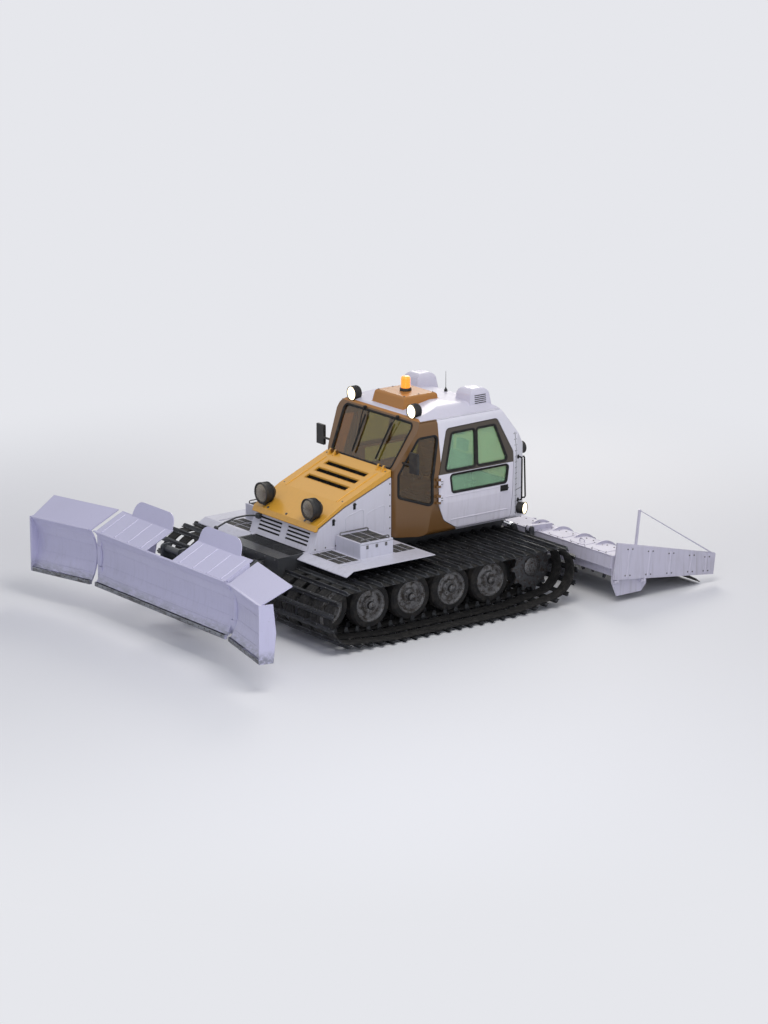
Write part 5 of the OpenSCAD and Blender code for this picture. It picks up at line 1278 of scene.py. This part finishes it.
for node, xs in (("push_frame", range(2090, 2560, 36)), ("tiller_frame", range(-2130, -2440, -28))):
    lines, clamps = Shape(), Shape()
    for y in (415, 445):
        laid_pipe(lines, clamps, node, xs, y, 7)
    if lines.points:
        lines.mirrored().piece(f"{node}_pipes", bolt_steel, "steel", node)
        clamps.mirrored().piece(f"{node}_clamps", black_rubber, "black_plastic", node)
hose_arm = Shape()
hose_arm.pipe([(1396, -610, 1296), (1440, -612, 1312), (1560, -622, 1330), (1740, -628, 1326),
               (1940, -610, 1290), (2100, -585, 1248)], 13, 14)
hose_arm.turned((2085, -588, 1252), (2120, -582, 1243),
                [(0, 13), (4, 26), (18, 34), (34, 34), (48, 24), (54, 8)], 20)
hose_arm.block((1326, -650, 1262), (1398, -570, 1330), 6)
hose_arm.piece("hose_arm", frame_paint, "dark_steel")

# Blade and its wings
# A rolled mouldboard with hinged wings, a spill guard with folds above and a bolted cutting edge below.
# Pale enamel with the sky's blue shade painted in as lavender, scraped to bright steel low down in use; the
# gear in its notch has chromed rods.
# The blade's lavender is painted blue sky shade over a pale enamel.
blade_paint = painted("blade_paint", "#c4c2de", "#7c7e86", "#84868a", gloss=0.34, dust=0.35, low=0.4,
                      high=1.4, chips=0.64)
scraping = blade_paint.noise(0.05, 6, 0.7, blade_paint.stretched(1, 0.25, 1))
scraped = blade_paint.z.ramp(0.44, 0.62, 1.0, 0.0) * scraping.ramp(0.3, 0.6)
blade_paint.set(Base_Color=blade_paint.mix(scraped * 0.85, blade_paint.colour, tint("#7b7e86")),
                Metallic=scraped * 0.7, Roughness=blade_paint.rough - scraped * 0.1)
wear(blade_paint, "blade_board", "wing_left", "wing_right")
wear(frame_paint, "blade_gear")
BLADE_X, EDGE_LOW, EDGE_HIGH, FOLD_Z, GUARD_LEAN = 3480, 411, 470, 1204, radians(26)
ROLL_X, ROLL_Z, ROLL_R = 3912, 820, 582
HINGE_X, HINGE_Y, WING_REST = 3330, 1660, radians(14)
edge_steel = Finish("edge_steel", Metallic=1.0)
edge_wear = edge_steel.noise(0.04, 6, 0.7, edge_steel.stretched(1, 0.2, 1))
edge_steel.mottled(edge_wear.ramp(0.4, 0.7), "#8c8f95", "#4d4a48", 0.3 + edge_wear * 0.35)
edge_steel.relief(edge_wear, 0.001, 0.6, 0.004)


def on_wing(x, y, z):
    """A place on the left wing, drawn straight, at the wing's rest angle."""
    dx, dy = x - HINGE_X, y - HINGE_Y
    return (HINGE_X + dx * cos(WING_REST) + dy * sin(WING_REST),
            HINGE_Y - dx * sin(WING_REST) + dy * cos(WING_REST), z)


def cutting_edge(y0, y1, count):
    """Bolted edge plates between two places along the blade."""
    plates, bolts = Shape(), Shape()
    for k in range(count):
        a, b = y0 + (y1 - y0) * k / count + 2, y0 + (y1 - y0) * (k + 1) / count - 2
        plates.block((BLADE_X - 30, a, EDGE_LOW), (BLADE_X + 5, b, EDGE_HIGH), 3)
        for j in range(4):
            bolts.bolt((BLADE_X + 5, a + (b - a) * (j + 0.5) / 4, EDGE_LOW + 34), (1, 0, 0), 9, 5)
    return plates, bolts


def guard_face(x):
    """Height of the spill guard's upper face."""
    return 1195 + (BLADE_X - 10 - x) * tan(GUARD_LEAN)


def face_folds(shape, ys):
    """Pressed folds across the rolled face, at places along it."""
    for z in (560, 700, 940, 1080):
        x = ROLL_X - sqrt(ROLL_R ** 2 - (z - ROLL_Z) ** 2)
        shape.trim([(x, y, z) for y in ys], (1, 0, (ROLL_Z - z) / ROLL_R),
                   [(-7, -2), (7, -2), (3, 3), (-3, 3)], closed=False)


plates, bolts = cutting_edge(-1585, 1585, 6)
plates.piece("blade_edge", edge_steel, "steel", "blade")
bolts.piece("blade_edge_bolts", bolt_steel, "steel", "blade")
folds = Shape()
folds.pipe([(BLADE_X - 4, -1600, FOLD_Z), (BLADE_X - 4, 1600, FOLD_Z)], 13, 12)
for side in (-1, 1):
    for y in (470, 800, 1130, 1460):
        folds.trim([(x, side * y, guard_face(x)) for x in range(3440, 3030, -40)],
                   (sin(GUARD_LEAN), 0, cos(GUARD_LEAN)),
                   [(-16, -2), (16, -2), (9, 6), (-9, 6)], closed=False)
    folds.pipe([(3006, side * 325, guard_face(3006) - 6), (3006, side * 1560, guard_face(3006) - 6)], 9, 10)
    folds.pipe([(3010, side * 322, guard_face(3010) - 4), (3460, side * 322, guard_face(3460) - 4)], 8, 10)
face_folds(folds, range(-1560, 1561, 120))
folds.piece("blade_folds", blade_paint, "white_paint", "blade")
hinge_caps = Shape()
for z0, z1 in ((1170, 1171), (470, 469)):
    hinge_caps.turned((HINGE_X, HINGE_Y, z0), (HINGE_X, HINGE_Y, z1),
                      [(-1, 40), (6, 40), (10, 34), (12, 14), (20, 12)], 28)
hinge_caps.mirrored().piece("wing_hinge_caps", bolt_steel, "steel", "blade")
plates, bolts = cutting_edge(1742, 2850, 2)
beads = Shape()
beads.pipe([(BLADE_X - 4, 1742, FOLD_Z), (BLADE_X - 4, 2846, FOLD_Z)], 12, 12)
face_folds(beads, range(1770, 2850, 120))
twins("wing", (plates.moved(on_wing), "edge", edge_steel, "steel"),
      (bolts.moved(on_wing), "edge_bolts", bolt_steel, "steel"),
      (beads.moved(on_wing), "folds", blade_paint, "white_paint"))
GEAR_X, CHEEK_Y = 3094, 202
gear_rods, gear_fittings = Shape(), Shape()
for y in (-80, 80):
    gear_rods.turned((GEAR_X, y, 1104), (GEAR_X, y, 1105), [(0, 20), (4, 20), (70, 20), (72, 14)], 24)
    gear_fittings.turned((GEAR_X, y, 1088), (GEAR_X, y, 1089),
                         [(0, 43), (1, 47), (14, 47), (18, 42), (22, 24)], 28)
    gear_fittings.turned((GEAR_X, y, 870), (GEAR_X, y, 871), [(0, 43), (1, 46), (16, 46), (17, 43)], 28)
    for z in (900, 1060):
        gear_fittings.turned((GEAR_X - 40, y, z), (GEAR_X - 62, y, z),
                             [(0, 12), (14, 12), (16, 9), (24, 9)], 12)
    line = ((60, 900), (68, 906), (70, 920), (70, 1040), (68, 1054), (60, 1060))
    gear_fittings.pipe([(GEAR_X - back, y, z) for back, z in line], 7, 10)
for side in (-1, 1):
    gear_fittings.turned((3204, side * 250, 1230), (3204, side * 251, 1230),
                         [(-1, 54), (8, 54), (12, 46), (13, 20), (20, 18)], 28)
    for x, z in ((3060, 900), (3124, 1150), (3230, 900), (3180, 1180)):
        gear_fittings.bolt((x, side * CHEEK_Y, z), (0, side, 0), 12, 9)
gear_rods.piece("gear_rods", chrome, "chrome", "blade")
gear_fittings.piece("gear_fittings", bolt_steel, "steel", "blade")

# Tiller
# The housing over the toothed shaft, the comb mat behind it and the side finishers folded up at the ends.
# Enamelled sheet with bolted hatches and lifting loops; the mat is combed black rubber under steel strips.
tiller_paint = painted("tiller_paint", "#c9c6d8", "#706c66", "#7d7e82", gloss=0.4, dust=0.5, low=0.2,
                       high=1.2)
wear(tiller_paint, "tiller_housing", "side_finisher_left", "side_finisher_right")
wear(sprocket_iron, "cutter")
mat_rubber = Finish("mat_rubber")
mat_scuff = mat_rubber.noise(0.1, 6, 0.65)
combing = (mat_rubber.y * 230).sine() * 0.5 + 0.5
mat_rubber.mottled(mat_scuff.ramp(0.4, 0.75), "#202124", "#46433f", 0.7 + mat_scuff * 0.2)
mat_rubber.relief(combing + mat_scuff * 0.3, 0.006, 0.8)
wear(mat_rubber, "finisher_mat")
HOUSE_TOP, HOUSE_FRONT, HOUSE_BACK, RIB_YS = 705, -2620, -2930, (330, 810, 1290, 1770, 2250)
house_bolts, hatches = Shape(), Shape()
for k in range(15):
    y = 70 + k * 152
    if min(abs(y - rib) for rib in RIB_YS) > 26:
        for x in (HOUSE_FRONT - 20, HOUSE_BACK):
            house_bolts.bolt((x, y, HOUSE_TOP), (0, 0, 1), 9, 7)
for y in (400, 880, 1360, 1840):
    low, high = (-2890, y), (-2662, y + 340)
    hatches.block((*low, HOUSE_TOP - 2), (*high, HOUSE_TOP + 5), 3)
    for x in (low[0] + 20, high[0] - 20):
        for y in (low[1] + 20, high[1] - 20):
            house_bolts.bolt((x, y, HOUSE_TOP + 5), (0, 0, 1), 6, 5)
hatches.pipe([(HOUSE_FRONT, 0, HOUSE_TOP - 4), (HOUSE_FRONT, 2345, HOUSE_TOP - 4)], 9, 10)
for y in (520, 1490):
    loop = ((0, 4), (0, 34), (14, 44), (86, 44), (100, 34), (100, 4))
    hatches.pipe([(-2760, y + along, HOUSE_TOP + up) for along, up in loop], 7, 10)
hatches.mirrored().piece("tiller_hatches", tiller_paint, "grey_panel", "tiller")
house_bolts.mirrored().piece("tiller_bolts", bolt_steel, "steel", "tiller")
MAT_X, MAT_Z, MAT_LONG = -3300, 560, 1150
MAT_SLOPE = asin((MAT_Z - 26) / MAT_LONG)


def on_mat(d, y, z):
    """A place a distance back from the mat's hinge and above the middle of its thickness."""
    return (MAT_X - d * cos(MAT_SLOPE) - z * sin(MAT_SLOPE), y,
            MAT_Z - d * sin(MAT_SLOPE) + z * cos(MAT_SLOPE))


combs = Shape()
for k in range(49):
    y = -2280 + k * 95
    rings = []
    for d, h in ((330, 7.5), (390, 21), (1110, 21), (1146, 9)):
        rings.append([on_mat(d, y + w, t) for w, t in ((-27, 5), (-16, h), (16, h), (27, 5))])
    combs.loft(rings)
combs.piece("mat_combs", mat_rubber, "mat_rubber", "finisher_mat")
mat_strips, mat_bolts = Shape(), Shape()
for d in (120, 290):
    section = ((d - 22, 6), (d - 20, 13), (d + 20, 13), (d + 22, 6))
    mat_strips.loft([[on_mat(a, y, t) for a, t in section] for y in (-2320, 2320)])
    up = Vector(on_mat(0, 0, 1)) - Vector(on_mat(0, 0, 0))
    for k in range(24):
        mat_bolts.bolt(on_mat(d, -2250 + k * 195.6, 13), up, 8, 6)
mat_strips.piece("mat_strips", edge_steel, "steel", "finisher_mat")
mat_bolts.piece("mat_bolts", bolt_steel, "steel", "finisher_mat")
SIDE_FALL = radians(7)


def on_finisher(x, y, z):
    """A place on the left side finisher, drawn upright with its hinge along x."""
    return (-2600 + x * cos(SIDE_FALL) - z * sin(SIDE_FALL), 2410 + y,
            330 + x * sin(SIDE_FALL) + z * cos(SIDE_FALL))


finisher_edges, finisher_bolts = Shape(), Shape()
finisher_edges.pipe([(-3, 0, 40), (-3, 0, 556), (-1885, 0, 334), (-1885, 0, 40)], 17, 12)
for x in (-250, -640, -1040, -1440, -1740):
    top = 560 + x * 0.118 - 30
    finisher_edges.loft([[(x - 24, 14, z), (x - 12, 23, z), (x + 12, 23, z), (x + 24, 14, z)]
                         for z in (60, top)])
    for z in (90, top - 30):
        finisher_bolts.bolt((x - 45, 15, z), (0, 1, 0), 8, 6)
        finisher_bolts.bolt((x + 45, 15, z), (0, 1, 0), 8, 6)
finisher_edges.turned((-355, 0, 1028), (-355, 0, 1029), [(-2, 24), (4, 24), (8, 18), (9, 4)], 16)
twins("side_finisher", (finisher_edges.moved(on_finisher), "edges", tiller_paint, "grey_panel"),
      (finisher_bolts.moved(on_finisher), "bolts", bolt_steel, "steel"))

# Floor, light and camera
# A plain pale floor and an even studio light; the camera looks from ahead, above and the machine's left.
floor_mesh = bpy.data.meshes.new("studio_floor")
floor_mesh.from_pydata([(-400, -400, 0), (400, -400, 0), (400, 400, 0), (-400, 400, 0)], [], [(0, 1, 2, 3)])
studio_floor = placed("studio_floor", floor_mesh)
floor_finish = Finish("studio_floor", Roughness=0.9)
floor_finish.set(Base_Color=tint("#e9eaee"))
floor_far = ((floor_finish.x * floor_finish.x + floor_finish.y * floor_finish.y) ** 0.5).ramp(5.5, 13)
seen = floor_finish.node("ShaderNodeLightPath")
for outlet in (3, 6):
    seen = seen.most(floor_finish.node("ShaderNodeLightPath", out=outlet))
pale = floor_finish.node("ShaderNodeEmission", {}, {0: tint("#e6e7ec")})
lit = Reading(floor_finish, floor_finish.shader.outputs[0])
floor_finish.join(floor_finish.node("ShaderNodeMixShader", {}, {0: floor_far * seen, 1: lit, 2: pale}),
                  floor_finish.tree.nodes["Material Output"].inputs[0])
floor_mesh.materials.append(floor_finish.material)

world = bpy.data.worlds.new("studio")
bpy.context.scene.world = world
world.use_nodes = True
sky = world.node_tree
rays = sky.nodes.new("ShaderNodeLightPath")
looked_at = rays.outputs["Is Camera Ray"]
for ray in ("Is Glossy Ray", "Is Transmission Ray"):
    either = sky.nodes.new("ShaderNodeMath")
    either.operation = "MAXIMUM"
    sky.links.new(looked_at, either.inputs[0])
    sky.links.new(rays.outputs[ray], either.inputs[1])
    looked_at = either.outputs[0]
tone = sky.nodes.new("ShaderNodeMix")
tone.data_type = "RGBA"
tone.inputs[6].default_value = (0.4, 0.41, 0.45, 1)
tone.inputs[7].default_value = (0.86, 0.87, 0.9, 1)
sky.links.new(looked_at, tone.inputs[0])
sky.links.new(tone.outputs[2], sky.nodes["Background"].inputs["Color"])
sky.nodes["Background"].inputs["Strength"].default_value = 1.0


def lamp(name, place, aim, size, power, colour):
    light = bpy.data.lights.new(name, "AREA")
    light.shape, light.size, light.energy, light.color = "DISK", size, power, colour
    made = placed(name, light)
    made.location = place
    made.rotation_euler = (Vector(aim) - Vector(place)).to_track_quat("-Z", "Y").to_euler()


lamp("key_light", (3, 7, 13), (0, 0, 1), 7, 760, (1.0, 0.97, 0.92))
lamp("fill_light", (9, 12, 5), (0, 0, 1), 8, 330, (0.9, 0.93, 1.0))
lamp("back_light", (-9, -8, 9), (0, 0, 1), 7, 650, (1.0, 0.95, 0.86))

AZIMUTH, ELEVATION, DISTANCE, WIDE = radians(143), radians(15), 52.0, 10.9
aim = Vector((0.0, 0.0, 1.2))
look_from = aim + DISTANCE * Vector((sin(AZIMUTH) * cos(ELEVATION), -cos(AZIMUTH) * cos(ELEVATION),
                                     sin(ELEVATION)))
shot = bpy.data.cameras.new("photo_view")
shot.sensor_width = 36
shot.lens = shot.sensor_width * 768 / 1024 * DISTANCE / WIDE
shot.clip_end = 2000
camera = placed("photo_view", shot)
camera.location = look_from
camera.rotation_euler = (aim - look_from).to_track_quat("-Z", "Y").to_euler()
bpy.context.scene.camera = camera
bpy.context.scene.view_settings.view_transform = "Standard"
